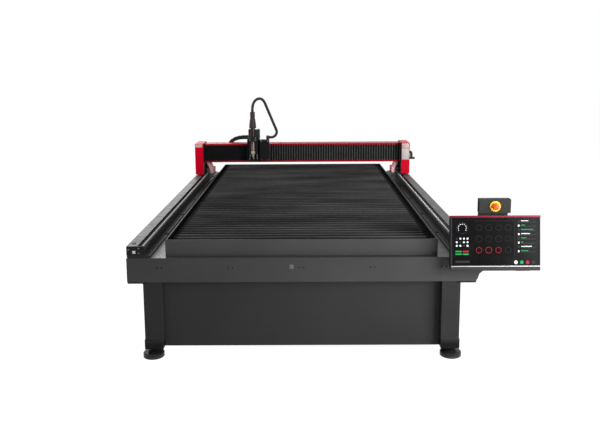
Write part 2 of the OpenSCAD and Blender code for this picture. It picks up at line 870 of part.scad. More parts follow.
// Side outline of an upright, drawn in by an even margin
function upright_outline(m, bottom) = [
    [m, bottom], [m, upright_z1 - m], [upright_d - m, upright_z1 - m], [upright_d - m, knee_z - m / 2],
    [upright_foot_d - m, knee_z - knee_drop - m / 2], [upright_foot_d - m, bottom]
];

// Folded cover over a drive and its end plate, open below and towards the beam
module upright_cover() {
    difference() {
        along_x(end_x0, upright_x1) polygon(upright_outline(0, upright_z0));
        along_x(end_x0 - cut, upright_x1 - cover_t)
            polygon(upright_outline(cover_t, upright_z0 - cut));
    }
}

module left_upright() {
    color(red) at_gantry() mirror([1, 0, 0]) upright_cover();
}

module right_upright() {
    color(red) at_gantry() upright_cover();
}

// Structural end plates: they reach down through the rail slots to a shelf on the bearing blocks
module end_plates() {
    shelf_x1 = half_w - guide_u + block_w / 2;
    color(dark) at_gantry() both_sides() difference() {
        union() {
            along_x(end_x0, upright_x0) polygon(upright_outline(cover_t, block_top));
            block([upright_x0, shelf_margin, block_top],
                  [shelf_x1, upright_foot_d - shelf_margin, block_top + shelf_t]);
        }
        translate([end_x0 - cut, pinion_y, pinion_z])
            rotate([0, 90, 0]) cylinder(d = shaft_d + 2 * run_gap, h = end_plate_t + 2 * cut);
    }
}

module gantry_beam() {
    color("#77797c") at_gantry() along_x(-end_x0, end_x0)
        translate([beam_setback, beam_z0]) difference() {
            square([beam_d, beam_h]);
            translate([tube_t, tube_t]) square([beam_d - 2 * tube_t, beam_h - 2 * tube_t]);
        }
}

// Red folded covers above and below the beam, with lips in front of the bellows
module beam_covers() {
    x1 = end_x0 - 1;
    color(red) at_gantry() along_x(-x1, x1) {
        polygon([
            [lip_y, beam_z1 + cover_t], [beam_y1, beam_z1 + cover_t], [beam_y1, beam_z1],
            [lip_y + cover_t, beam_z1], [lip_y + cover_t, beam_z1 - lip_top_h], [lip_y, beam_z1 - lip_top_h]
        ]);
        polygon([
            [lip_y, beam_z0 - cover_t], [beam_y1, beam_z0 - cover_t], [beam_y1, beam_z0],
            [lip_y + cover_t, beam_z0], [lip_y + cover_t, beam_z0 + lip_low_h], [lip_y, beam_z0 + lip_low_h]
        ]);
    }
}

module beam_guides() {
    color(steel) at_gantry() for (z = beam_guide_zs)
        along_x(-end_x0, end_x0)
            translate([beam_setback, z]) rotate(90) guide_outline();
}

// Rack on the beam's face between the guides, teeth up
module beam_rack() {
    xp = torch_x + motor_x;
    x1 = end_x0;
    color("#6f7073") at_gantry()
        along_y(beam_setback - rack_w, beam_setback)
            translate([xp, 0])
                polygon(rack_outline(beam_rack_module, -x1 - xp, x1 - xp, beam_rack_z, beam_pitch_z));
}

module truck_blocks() {
    color("#8e9195") at_gantry() both_sides() for (y = truck_ys)
        along_y(y, y + block_l)
            translate([half_w - guide_u, guide_z]) bearing_outline();
}

// Right angle gearboxes on the end plates with upright motors
module drive_motors() {
    mx = upright_x0 + motor_s / 2 + 2;
    color("#26272a") at_gantry() both_sides() difference() {
        union() {
            block([upright_x0, pinion_y - gearbox_s / 2, pinion_z - gearbox_s / 2],
                  [mx + motor_s / 2, pinion_y + gearbox_s / 2, pinion_z + gearbox_s / 2]);
            translate([mx - motor_s / 2, pinion_y - motor_s / 2, pinion_z + gearbox_s / 2])
                linear_extrude(motor_h) round_rect(motor_s, motor_s, 6);
            translate([mx, pinion_y, pinion_z + gearbox_s / 2 + motor_h])
                cylinder(d = motor_s - 8, h = 18);
        }
        translate([upright_x0 - cut, pinion_y, pinion_z])
            rotate([0, 90, 0]) cylinder(d = shaft_d + 2 * run_gap, h = 32 + cut);
    }
}

// Sloped hoods over the pinions with a rim along their front edges
module pinion_guards() {
    x0 = end_x0 - guard_reach;
    x1 = end_x0 - guard_top;
    z0 = pinion_z - guard_drop;
    z1 = beam_z0 - cover_t - 1;
    t = cover_t;
    y0 = pinion_y - guard_half_l;
    y1 = pinion_y + guard_half_l;
    slope_z = z0 + guard_low_h;
    rack_side = half_w - rail_w - 2 * t;
    rail_z0 = pinion_z - guard_clear;
    color("#d8414f") at_gantry() both_sides() {
        along_y(y0, y1) polygon([
            [end_x0, z1], [x1, z1], [x0, slope_z], [x0, z0], [x0 + t, z0], [x0 + t, slope_z - 1],
            [x1 + t / 2, z1 - t], [end_x0, z1 - t]
        ]);
        along_y(y1, y1 + t) polygon([
            [end_x0, z1], [x1, z1], [x0, slope_z], [x0, z0], [rack_side, z0], [rack_side, rail_z0],
            [end_x0, rail_z0]
        ]);
        along_y(y0 - t, y0) polygon([
            [x1 + guard_rim, z1], [x1, z1], [x0, slope_z], [x0, z0], [x0 + guard_rim, z0],
            [x0 + guard_rim, slope_z]
        ]);
    }
}

// Pinion with hub and shaft, on an axis across the table
module drive_pinion() {
    gear_x1 = rack_x + rack_w / 2 - 1;
    gear_x0 = rack_x - rack_w / 2 + 1;
    translate([0, pinion_y, pinion_z]) {
        along_x(gear_x0, gear_x1) polygon(gear_outline(rack_module, pinion_teeth));
        along_x(gear_x1, end_x0 - 0.5) circle(d = 2 * shaft_d);
        along_x(gear_x1, upright_x0 + 30) circle(d = shaft_d);
    }
}

module left_pinion() {
    color("#8a7a5c") at_gantry() mirror([1, 0, 0]) drive_pinion();
}

module right_pinion() {
    color("#8a7a5c") at_gantry() drive_pinion();
}

// Folded bellows between two places across the beam
module bellows(x0, x1) {
    n = 2 * bellows_folds;
    step = (x1 - x0) / n;
    t = bellows_t * sqrt(1 + pow(bellows_d / step, 2));
    d = bellows_d - t;
    translate([0, 0, bellows_z0]) linear_extrude(bellows_z1 - bellows_z0) polygon(concat(
        [for (i = [0:n]) [x0 + i * step, bellows_y + d * (i % 2)]],
        [for (i = [n:-1:0]) [x0 + i * step, bellows_y + d * (i % 2) + t]]
    ));
}

module left_bellows() {
    color(dark) at_gantry() bellows(-end_x0, torch_x + car_x0);
}

module right_bellows() {
    color(dark) at_gantry() bellows(torch_x + car_x1, end_x0);
}

// Open tray behind the beam for the cable chain
module chain_tray() {
    y1 = chain_y + chain_w + 12;
    color("#3a3b3d") at_gantry() along_x(tray_x0, tray_x1) polygon([
        [beam_y1, tray_z], [beam_y1, tray_z + tray_wall], [beam_y1 + tray_t, tray_z + tray_wall],
        [beam_y1 + tray_t, tray_z + tray_t], [y1 - tray_t, tray_z + tray_t],
        [y1 - tray_t, tray_z + tray_wall - 20], [y1, tray_z + tray_wall - 20], [y1, tray_z]
    ]);
}

// One chain link: two side plates with round ends and two cross bars; odd links fit between even ones
module chain_link(odd) {
    in = odd ? chain_plate_t + chain_slack : 0;
    r = chain_h / 2;
    bar = chain_pitch / 3;
    for (y = [in, chain_w - chain_plate_t - in])
        along_y(y, y + chain_plate_t) union() {
            translate([-chain_pitch / 2, -r]) square([chain_pitch, chain_h]);
            for (s = [-1, 1])
                translate([s * chain_pitch / 2, 0]) circle(r);
        }
    for (z = [-r, r - chain_plate_t])
        block([-bar / 2, in, z], [bar / 2, chain_w - in, z + chain_plate_t]);
}

// Lower run of the chain lying in its tray
module cable_chain() {
    x0 = tray_x0 + tray_t + chain_h / 2 + chain_pitch / 2;
    color("#17181a") at_gantry() for (i = [0:run_links - 1])
        translate([x0 + i * chain_pitch, chain_y, tray_z + tray_t + chain_h / 2]) chain_link(i % 2 == 1);
}

// Bent cable outlet with its bracket on the right upright
module cable_elbow() {
    r = 13;
    bend = 18;
    y = 105;
    x = upright_x1 + 14;
    z = upright_z0 + 200;
    foot_z = upright_z0 + 146;
    foot_t = 16;
    color(dark) at_gantry() {
        translate([upright_x1, y, z]) rotate([0, 90, 0]) cylinder(r = r + 2, h = x - upright_x1);
        translate([x, y, z - bend])
            rotate([90, 0, 0]) rotate_extrude(angle = 90) translate([bend, 0]) circle(r);
        translate([x + bend, y, foot_z]) cylinder(r = r, h = z - bend - foot_z);
        block([upright_x1, y - 25, foot_z - foot_t], [upright_x1 + 64, y + 25, foot_z]);
    }
}

// Stepped plate that bolts to the bearing blocks and passes between the lips
module carriage_plate() {
    color(dark) at_carriage() difference() {
        union() {
            block([car_x0, car_y0, car_z0], [car_x1, car_y0 + plate_t, plate_step_z]);
            block([car_x0, car_y0, car_z0], [car_x0 + lifter_w, car_y0 + plate_t, car_z1]);
            block([car_x0 + 2, car_y0 + plate_t, spacer_z0], [car_x1 - 2, car_y1, spacer_z1]);
        }
        translate([motor_x, car_y0 - cut, cross_z])
            rotate([-90, 0, 0])
                cylinder(d = cross_shaft_d + 2 * run_gap, h = plate_t + spacer_t + 2 * cut);
    }
}

module carriage_blocks() {
    color("#8e9195") at_carriage() for (x = car_block_xs, z = beam_guide_zs)
        along_x(x, x + car_block_l)
            translate([beam_setback, z]) rotate(90) bearing_outline();
}

module cross_motor() {
    s = cross_motor_s / 2;
    color("#26272a") at_carriage() difference() {
        translate([motor_x - s, 0, cross_z - s])
            along_y(car_y0 - cross_motor_l, car_y0) round_rect(cross_motor_s, cross_motor_s, 5);
        translate([motor_x, car_y0 - 30, cross_z])
            rotate([-90, 0, 0]) cylinder(d = cross_shaft_d + 2 * run_gap, h = 30 + cut);
    }
}

module cross_pinion() {
    gear_y0 = beam_setback - rack_w + 1;
    color("#8a7a5c") at_carriage() translate([motor_x, 0, cross_z]) {
        along_y(gear_y0, beam_setback - 1)
            polygon(gear_outline(beam_rack_module, cross_pinion_teeth));
        along_y(car_y0 - 28, gear_y0) circle(d = cross_shaft_d);
    }
}

// Cover over the cross motor, open at its back
module motor_cover() {
    w = car_x1 - box_x0;
    h = box_z1 - box_z0;
    t = box_t;
    color(dark) at_carriage() translate([box_x0, 0, box_z0]) difference() {
        along_y(box_y0, car_y0) round_rect(w, h, 6);
        along_y(box_y0 + t, car_y0 + cut) translate([t, t]) square([w - 2 * t, h - 2 * t]);
    }
}

// Open fronted lifter channel with its end plates
module lifter_frame() {
    w = lifter_w / 2;
    color("#2a2b2d") at_carriage() difference() {
        block([-w, lifter_y0, car_z0], [w, car_y0, lifter_z1]);
        block([lifter_wall - w, lifter_y0 - cut, car_z0 + lifter_end_t],
              [w - lifter_wall, car_y0 - lifter_wall, lifter_z1 - lifter_end_t]);
        for (x = [-rod_step, 0, rod_step])
            translate([x, rod_y, car_z0 - cut])
                cylinder(d = rod_d + 2 * run_gap, h = lifter_z1 - car_z0 + 2 * cut);
    }
}

module lift_rods() {
    color(steel) at_carriage() for (x = [-rod_step, rod_step])
        translate([x, rod_y, car_z0]) cylinder(d = rod_d, h = lifter_z1 - car_z0);
}

// Motor block on the lifter with a pocket for the screw's end
module lift_motor() {
    color("#232326") at_carriage() difference() {
        translate([lift_motor_x0, lifter_y0 + 2, lifter_z1])
            linear_extrude(lift_motor_h) round_rect(lift_motor_x1 - lift_motor_x0, lifter_d - 2, 5);
        translate([0, rod_y, lifter_z1 - cut]) cylinder(d = rod_d + 2 * run_gap, h = 16 + cut);
    }
}

module lift_screw() {
    color(steel) at_carriage() translate([0, rod_y, car_z0 + 1])
        cylinder(d = rod_d, h = lifter_z1 - car_z0 + 12);
}

// Arm over the beam that carries the chain's moving end
module chain_bracket() {
    t = 6;
    flange_t = 4;
    color("#2f3033") at_carriage() {
        block([car_x0, car_y0, car_z1], [car_x0 + 50, chain_y + chain_w, car_z1 + t]);
        block([car_x0 - flange_t, chain_y, chain_z - chain_h / 2],
              [car_x0, chain_y + chain_w, chain_z + chain_h / 2]);
    }
}

// Moving end of the chain, bending over and down to the tray
module chain_loop() {
    x0 = car_x0 - 4 - chain_h / 2;
    color("#17181a") at_carriage() for (i = [0:len(chain_turns) - 1]) {
        middle = (chain_pin(i) + chain_pin(i + 1)) / 2;
        translate([x0 + middle[0], chain_y, chain_z + middle[1]])
            rotate([0, -chain_angle(i), 0]) chain_link(i % 2 == 1);
    }
}

// Gland of the torch lead on the motor cover
module lead_gland() {
    color("#2b2b2e") at_carriage() {
        translate(gland_at - [gland_l, 0, 0]) rotate([0, 90, 0]) cylinder(r = gland_r, h = gland_l);
        block([gland_at[0] - gland_l + 4, gland_at[1] - 12, box_z1],
              [gland_at[0] - 6, gland_at[1] + 12, gland_at[2] - gland_r / 2]);
    }
}

// Nut block on the screw and rods, joined to the front plate that carries the torch
module lift_slide() {
    w = slide_w / 2;
    nut_y0 = rod_y - 14;
    color("#6d6f72") at_carriage() difference() {
        union() {
            block([-w - 3, nut_y0, nut_block_z], [w + 3, rod_y + 14, nut_block_z + nut_block_h]);
            block([-w + 5, slide_y0, nut_block_z], [w - 5, nut_y0, nut_block_z + nut_block_h]);
            block([-w, slide_y0, slide_z0], [w, slide_y1, slide_z1]);
        }
        for (x = [-rod_step, 0, rod_step])
            translate([x, rod_y, nut_block_z - cut])
                cylinder(d = rod_d + 2 * run_gap, h = nut_block_h + 2 * cut);
    }
}

// Split clamp round the torch barrel: two halves that meet on the barrel's axis
module torch_clamp() {
    w = clamp_w / 2;
    color("#3c3d40") at_carriage() difference() {
        union() {
            block([-w, torch_y + 0.5, clamp_z], [w, slide_y0, clamp_z + clamp_h]);
            block([-w, torch_y - 34, clamp_z], [w, torch_y - 0.5, clamp_z + clamp_h]);
        }
        translate([0, torch_y, clamp_z - cut]) cylinder(d = torch_d + 0.2, h = clamp_h + 2 * cut);
    }
}

module torch_body() {
    r = torch_d / 2;
    color("#8d8379") at_carriage() translate([0, torch_y, 0]) rotate_extrude() polygon([
        [0, barrel_z0], [r - 3, barrel_z0], [r - 3, barrel_z0 + 8], [r, barrel_z0 + 10],
        [r, barrel_z1], [0, barrel_z1]
    ]);
}

// Retaining cap and shield
module torch_nozzle() {
    r = torch_d / 2;
    color("#c9b9a2") at_carriage() translate([0, torch_y, tip_z]) rotate_extrude() polygon([
        [0, 0], [6, 0], [8, 6], [12, 24], [14, 28], [r - 4, 34], [r - 2, 38],
        [r - 2, nozzle_h], [0, nozzle_h]
    ]);
}

// Tapered rubber boot with ribs at its neck
module torch_boot() {
    h = boot_z1 - boot_z0;
    ribs = 4;
    rib = 8;
    bore = torch_d / 2 + fit_gap;
    depth = barrel_z1 - boot_z0 + fit_gap;
    color("#1b1a1b") at_carriage() translate([0, torch_y, boot_z0]) rotate_extrude() polygon(concat(
        [[bore, 0], [boot_r0, 0], [boot_r0, 18], [boot_r1 + 2, h - 2 * rib * ribs - 6]],
        [for (i = [0:ribs - 1], c = [[-2, 0], [-2, rib], [0, rib], [0, 2 * rib]])
            [boot_r1 + c[0], h - 2 * rib * (ribs - i) + c[1]]],
        [[0, h], [0, depth], [bore, depth]]
    ));
}

// Rings along the lead's route: each ring lies square to the route's direction there
function lead_dir(i) =
    let (n = len(lead_points) - 1, d = lead_points[min(n, i + 1)] - lead_points[max(0, i - 1)])
    i == 0 ? [0, 0, 1] : i == n ? [-1, 0, 0] : d / norm(d);
function lead_ring(i) =
    let (d = lead_dir(i), side = cross(d, [0, 1, 0]), u = side / norm(side), v = cross(u, d))
    [for (k = [0:lead_sides - 1])
        let (a = 360 * k / lead_sides)
        lead_start + lead_points[i] + lead_d / 2 * (cos(a) * u + sin(a) * v)];
module torch_lead() {
    n = len(lead_points);
    m = lead_sides;
    color("#141415") at_carriage() polyhedron(
        points = [for (i = [0:n - 1]) each lead_ring(i)],
        faces = concat(
            [[for (k = [0:m - 1]) k]],
            [for (i = [0:n - 2], k = [0:m - 1])
                let (j = (k + 1) % m) [i * m + k, (i + 1) * m + k, (i + 1) * m + j, i * m + j]],
            [[for (k = [m - 1:-1:0]) (n - 1) * m + k]]
        )
    );
}

front_apron();
rear_apron();
side_beams();
cross_beams();
legs();
leveling_feet();
foot_pads();
skirt_panels();
water_pan();
slat_combs();
slats();
rail_beams();
rail_covers();
guide_rails();
rail_racks();
rail_end_caps();
drain_valve();
drain_lever();
drive_cabinet();
console_bracket();
monitor_housing();
monitor_screen();
stop_box();
stop_collar();
stop_button();
left_upright();
right_upright();
end_plates();
gantry_beam();
beam_covers();
beam_guides();
beam_rack();
truck_blocks();
drive_motors();
pinion_guards();
left_pinion();
right_pinion();
left_bellows();
right_bellows();
chain_tray();
cable_chain();
cable_elbow();
carriage_plate();
carriage_blocks();
cross_motor();
cross_pinion();
motor_cover();
lifter_frame();
lift_rods();
lift_motor();
lift_screw();
chain_bracket();
chain_loop();
lead_gland();
lift_slide();
torch_clamp();
torch_body();
torch_nozzle();
torch_boot();
torch_lead();
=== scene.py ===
"""Dresses the plasma cutting table: finishes, pleated bellows, torch lead, fasteners, display and studio."""

import logging
import math
from dataclasses import dataclass, field
from enum import Enum
from functools import reduce
from itertools import product

import bmesh
import bpy
from mathutils import Matrix, Vector
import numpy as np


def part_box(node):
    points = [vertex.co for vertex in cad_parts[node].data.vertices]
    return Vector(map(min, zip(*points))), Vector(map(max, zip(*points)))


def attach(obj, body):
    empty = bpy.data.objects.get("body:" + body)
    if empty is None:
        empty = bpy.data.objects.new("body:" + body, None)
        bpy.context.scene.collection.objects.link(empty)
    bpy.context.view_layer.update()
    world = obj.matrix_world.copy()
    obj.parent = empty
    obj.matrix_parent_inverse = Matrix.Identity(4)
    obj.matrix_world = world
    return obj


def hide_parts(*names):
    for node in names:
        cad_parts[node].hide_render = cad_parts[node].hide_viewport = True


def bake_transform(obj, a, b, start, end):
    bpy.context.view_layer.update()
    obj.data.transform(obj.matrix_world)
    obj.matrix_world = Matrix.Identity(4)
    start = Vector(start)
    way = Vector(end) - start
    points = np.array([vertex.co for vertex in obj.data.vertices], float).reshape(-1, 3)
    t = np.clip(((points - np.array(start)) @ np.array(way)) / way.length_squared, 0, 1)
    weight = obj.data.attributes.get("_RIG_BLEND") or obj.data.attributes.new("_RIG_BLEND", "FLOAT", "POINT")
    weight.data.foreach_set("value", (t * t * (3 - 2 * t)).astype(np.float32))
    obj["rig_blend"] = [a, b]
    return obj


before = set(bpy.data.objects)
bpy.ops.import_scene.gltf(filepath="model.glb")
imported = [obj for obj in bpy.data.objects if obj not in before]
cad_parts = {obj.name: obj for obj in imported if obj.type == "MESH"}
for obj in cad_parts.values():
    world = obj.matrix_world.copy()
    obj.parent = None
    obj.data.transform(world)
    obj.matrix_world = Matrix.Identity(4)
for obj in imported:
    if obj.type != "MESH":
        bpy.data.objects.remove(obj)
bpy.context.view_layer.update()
LOG = logging.getLogger("plasma_table")

Colour = tuple[float, float, float]
Point = tuple[float, float, float]
Pair = tuple[float, float]
Socket = bpy.types.NodeSocket

# Lengths are metres in the table's own frame: X to the right, Y to the rear, Z up.
FAR = 9.0  # lies beyond the table on every side
MILLIMETRES = 1000  # in a metre
SOFT_EDGE = 0.0004  # half width of the change between two finishes of one solid
NOISE_LOW, NOISE_HIGH = 0.3, 0.7  # band that holds most values of a noise
MIX_SHARE, MIX_FIRST, MIX_SECOND, MIX_RESULT = 0, 6, 7, 2  # sockets for colours on a mix node
EDGE_ANGLE, ROUND_ANGLE = 35.0, 60.0  # degrees below which faces shade as one: on plain and on round pieces
DUST_KEEPS, DUST_ADDS = 0.75, 0.07  # share of a paint's colour that dust leaves, and the grey it lays on
POLISH_ROUGHNESS = 0.14
UP = (0, 0, 1)
FRONT = (0, -1, 0)
REAR = (0, 1, 0)
RIGHT = (1, 0, 0)


class Axis(Enum):
    """Axes of the table's frame, numbered as in a vector."""

    X = 0
    Y = 1
    Z = 2


class Face(Enum):
    """Faces of a solid's box: the axis that each looks along, and which way."""

    RIGHT = (Axis.X, 1)
    FRONT = (Axis.Y, -1)
    TOP = (Axis.Z, 1)


class Grain(Enum):
    """Direction in which a metal was brushed, rolled or ground, as stretch factors for its texture."""

    ACROSS = (0.02, 1.0, 1.0)
    ALONG = (1.0, 0.02, 1.0)
    UPRIGHT = (1.0, 1.0, 0.02)
    NONE = (1.0, 1.0, 1.0)


@dataclass(frozen=True)
class Pattern:
    """A noise pattern: cells per metre, octaves of finer noise, and stretch along each axis."""

    scale: float
    detail: float
    stretch: Point = Grain.NONE.value


CLOUDS = Pattern(2.2, 4)
SPECKS = Pattern(620, 2)
PATCHES = Pattern(9, 2)
DUST = Pattern(14, 4)
DRIFTS = Pattern(5, 5)
WIPE_MARKS = Pattern(30, 3)
ORANGE_PEEL = Pattern(900, 2)
# mottle of the near-black painted shade
SHADE_MOTTLE = Pattern(26, 5)
# mottle of the painted reflection on the ledges
GLARE_NOISE = Pattern(90, 4)
FILM = Pattern(18, 5)
STAINS = Pattern(7, 5)
SMEARS = Pattern(60, 4)
MILL_SCALE = Pattern(40, 5)
BROWNING = Pattern(160, 4)
BROWN_PATCHES = Pattern(11, 5)
DROSS = Pattern(300, 4)
DROSS_RUNS = Pattern(4, 5, (0.3, 1.0, 1.0))
SPATTER = Pattern(240, 5)
SCUFFS = Pattern(25, 5)
SCUFF_PATCHES = Pattern(6, 4)
TOUCH_MARKS = Pattern(45, 3)
RUBBING = Pattern(50, 4)
NAP = Pattern(80, 3)
GLASS_TINT = Pattern(3, 2)
GLASS_SMEARS = Pattern(12, 4)
PIXEL_ROWS = Pattern(420, 1, Grain.ACROSS.value)


class Tree:
    """A node tree that is built up from empty."""

    def __init__(self, tree: bpy.types.NodeTree) -> None:
        """Empties the tree of a material or a world to build in it."""
        self.tree = tree
        self.tree.nodes.clear()

    def add(self, kind: str, inputs: dict[str | int, object] | None = None,
            **settings: object) -> bpy.types.Node:
        """Adds a node.

        Args:
            kind: Blender's type name of the node.
            inputs: Constants or source sockets, by the name or number of the input.
            **settings: Attributes set on the node.

        Returns:
            The new node.
        """
        node = self.tree.nodes.new(kind)
        for key, value in settings.items():
            setattr(node, key, value)
        for key, value in (inputs or {}).items():
            self.feed(node.inputs[key], value)
        return node

    def feed(self, target: Socket, value: object) -> None:
        """Links a socket to an input, or sets the input to a constant.

        Args:
            target: The input.
            value: Source socket or constant.
        """
        if isinstance(value, Socket):
            self.tree.links.new(value, target)
        else:
            target.default_value = value


class Graph(Tree):
    """The node tree of one procedural material, with a principled shader at its end."""

    def __init__(self, name: str) -> None:
        """Starts an empty material.

        Args:
            name: Name of the new material.
        """
        self.material = bpy.data.materials.new(name)
        self.material.use_nodes = True
        super().__init__(self.material.node_tree)
        self.shader = self.add("ShaderNodeBsdfPrincipled")
        self.add("ShaderNodeOutputMaterial", {"Surface": self.shader.outputs["BSDF"]})
        self.place = self.add("ShaderNodeTexCoord").outputs["Object"]

    def set(self, **values: object) -> None:
        """Feeds the shader's own sockets, with underscores for spaces in their names."""
        for key, value in values.items():
            self.feed(self.shader.inputs[key.replace("_", " ")], value)

    def colour(self, source: Socket) -> None:
        """Feeds the base colour."""
        self.set(Base_Color=source)

    def noise(self, pattern: Pattern) -> Socket:
        """Adds a noise texture in the object's metres.

        Args:
            pattern: Size, detail and stretch of the noise.

        Returns:
            Socket of the noise's value.
        """
        mapping = self.add("ShaderNodeMapping", {"Vector": self.place, "Scale": pattern.stretch})
        texture = self.add("ShaderNodeTexNoise", {
            "Vector": mapping.outputs["Vector"], "Scale": pattern.scale, "Detail": pattern.detail})
        return texture.outputs["Fac"]

    def ramp(self, source: Socket, first: Colour, second: Colour,
             start: float = NOISE_LOW, end: float = NOISE_HIGH) -> Socket:
        """Maps a value to a blend of two colours.

        Args:
            source: Socket of the value.
            first: Colour up to the start.
            second: Colour from the end on.
            start: Value where the blend begins.
            end: Value where the blend ends.

        Returns:
            Socket of the colour.
        """
        node = self.add("ShaderNodeValToRGB", {"Fac": source})
        for element, place, colour in zip(node.color_ramp.elements, (start, end), (first, second)):
            element.position = place
            element.color = (*colour, 1.0)
        return node.outputs["Color"]

    def mix(self, share: Socket, first: Socket, second: Socket) -> Socket:
        """Mixes two colours by a share of the second and returns the mixed colour's socket."""
        sockets = {MIX_SHARE: share, MIX_FIRST: first, MIX_SECOND: second}
        return self.add("ShaderNodeMix", sockets, data_type="RGBA").outputs[MIX_RESULT]

    def span(self, source: Socket, low: float, high: float,
             start: float = NOISE_LOW, end: float = NOISE_HIGH) -> Socket:
        """Maps a value's band onto another and returns the result's socket, clamped to low and high."""
        limits = {"From Min": start, "From Max": end, "To Min": low, "To Max": high}
        return self.add("ShaderNodeMapRange", {"Value": source, **limits}).outputs["Result"]

    def times(self, first: Socket, second: Socket) -> Socket:
        """Returns the socket of two values' product."""
        return self.add("ShaderNodeMath", {0: first, 1: second}, operation="MULTIPLY").outputs["Value"]

    def facing(self, axis: Axis) -> Socket:
        """Returns the socket of how far a surface faces along an axis, from -1 to 1."""
        normal = self.add("ShaderNodeNewGeometry").outputs["Normal"]
        return self.add("ShaderNodeSeparateXYZ", {"Vector": normal}).outputs[axis.name]

    def upness(self) -> Socket:
        """Returns the socket of how far a surface faces up, from 0 to 1."""
        return self.span(self.facing(Axis.Z), 0.0, 1.0, 0.6, 1.0)

    def frontness(self) -> Socket:
        """Returns the socket of how far a surface faces the table's front, from 0 to 1."""
        return self.span(self.facing(Axis.Y), 1.0, 0.0, -0.5, -0.1)

    def rise(self, axis: Axis, start: float, end: float) -> Socket:
        """Returns the socket of a 0 to 1 rise between two places along an axis of the object."""
        parts = self.add("ShaderNodeSeparateXYZ", {"Vector": self.place})
        return self.span(parts.outputs[axis.name], 0.0, 1.0, start, end)

    def within(self, low: Point, high: Point, edge: float = SOFT_EDGE) -> Socket:
        """Tests whether a point lies in a box of the object.

        Args:
            low: Lowest corner of the box.
            high: Highest corner of the box.
            edge: Half width of the soft change at its sides.

        Returns:
            Socket that is 1 inside the box and 0 outside.
        """
        middle = tuple((a + b) / 2 for a, b in zip(low, high))
        away = self.add("ShaderNodeVectorMath", {0: self.place, 1: middle}, operation="SUBTRACT")
        far = self.add("ShaderNodeVectorMath", {0: away.outputs["Vector"]}, operation="ABSOLUTE")
        parts = self.add("ShaderNodeSeparateXYZ", {"Vector": far.outputs["Vector"]})
        shares = []
        for axis, a, b in zip(Axis, low, high):
            half = (b - a) / 2
            shares.append(self.span(parts.outputs[axis.name], 1.0, 0.0, half - edge, half + edge))
        return reduce(self.times, shares)

    def inward(self, reach: float, edge: float = SOFT_EDGE) -> Socket:
        """Returns the socket of a test for points no further than a reach left or right of the middle."""
        return self.within((-reach, -FAR, -FAR), (reach, FAR, FAR), edge)

    def bump(self, source: Socket, depth: float, strength: float) -> None:
        """Roughs the surface by a height of at most depth metres, felt by a strength from 0 to 1."""
        node = self.add("ShaderNodeBump", {"Height": source, "Distance": depth, "Strength": strength})
        self.set(Normal=node.outputs["Normal"])


def grey(level: float) -> Colour:
    """Returns a neutral grey."""
    return (level,) * 3


def shade(colour: Colour, factor: float) -> Colour:
    """Returns a colour made lighter or darker by a factor."""
    return tuple(min(1.0, c * factor) for c in colour)


def tones(colour: Colour, dark: float, pale: float) -> tuple[Colour, Colour]:
    """Returns two shades of a colour for the ends of a ramp."""
    return shade(colour, dark), shade(colour, pale)


@dataclass(frozen=True)
class Finish:
    """A named surface finish."""

    name: str

    def paint(self, graph: Graph) -> None:
        """Builds the finish into a graph."""
        raise NotImplementedError

    def material(self) -> bpy.types.Material:
        """Looks the finish's material up, and makes it at its first use.

        Returns:
            The material.
        """
        found = bpy.data.materials.get(self.name)
        if found is None:
            graph = Graph(self.name)
            self.paint(graph)
            found = graph.material
        return found


@dataclass(frozen=True)
class PowderCoat(Finish):
    """Baked powder paint with orange peel, faint clouding, and dust or a polish on what faces up."""

    base: Colour
    gloss: float = 0.45
    dust: float = 0.12
    shine: float = 0.1
    polish: float = 0.0

    def coat(self, graph: Graph) -> Socket:
        """Builds the paint's roughness and bump.

        Args:
            graph: Node tree of the material.

        Returns:
            Socket of the paint's colour.
        """
        cloud = graph.ramp(graph.noise(CLOUDS), *tones(self.base, 0.86, 1.14))
        speck = graph.ramp(graph.noise(SPECKS), *tones(self.base, 0.9, 1.1), start=0.35, end=0.65)
        paint = graph.mix(graph.span(graph.noise(PATCHES), 0.3, 0.5), cloud, speck)
        pale = tuple(DUST_KEEPS * c + DUST_ADDS for c in self.base)
        dusty = graph.ramp(graph.noise(DUST), *tones(pale, 0.8, 1.0))
        upward_share = graph.times(graph.upness(), graph.span(graph.noise(DRIFTS), 0.0, self.dust))
        graph.set(Roughness=graph.span(graph.noise(WIPE_MARKS), self.gloss - 0.06, self.gloss + 0.08),
                  Specular_IOR_Level=self.shine, Coat_Roughness=POLISH_ROUGHNESS)
        graph.bump(graph.noise(ORANGE_PEEL), depth=0.0002, strength=0.28)
        if self.polish > 0:
            graph.set(Coat_Weight=graph.span(graph.upness(), 0.0, self.polish, 0.0, 1.0))
        return graph.mix(upward_share, paint, dusty)

    def paint(self, graph: Graph) -> None:
        """Builds the paint."""
        graph.colour(self.coat(graph))


@dataclass(frozen=True)
class InsideShadePaint(PowderCoat):
    """Powder paint with a box of the solid painted near black as shade, such as the insides of the aprons and
    the pan.
    """

    area: tuple[Point, Point] = ((-1.0, -1.0, -1.0), (1.0, 1.0, 1.0))

    def paint(self, graph: Graph) -> None:
        """Builds the paint and the box painted near black as shade."""
        painted_shade = graph.ramp(graph.noise(SHADE_MOTTLE), grey(0.003), grey(0.009))
        graph.colour(graph.mix(graph.within(*self.area), self.coat(graph), painted_shade))


@dataclass(frozen=True)
class RearGlarePaint(PowderCoat):
    """Powder paint that turns paler on what faces up towards the rear, a painted reflection of the bright
    surround.
    """

    start: float = 0.0
    end: float = 1.0
    glare_colour: Colour = (0.15, 0.15, 0.15)

    def paint(self, graph: Graph) -> None:
        """Builds the paint and the painted reflection on what faces up.

        Args:
            graph: Node tree of the material.
        """
        glare_colour = graph.ramp(graph.noise(GLARE_NOISE), *tones(self.glare_colour, 0.8, 1.1))
        upward_share = graph.times(graph.upness(), graph.rise(Axis.Y, self.start, self.end))
        graph.colour(graph.mix(upward_share, self.coat(graph), glare_colour))


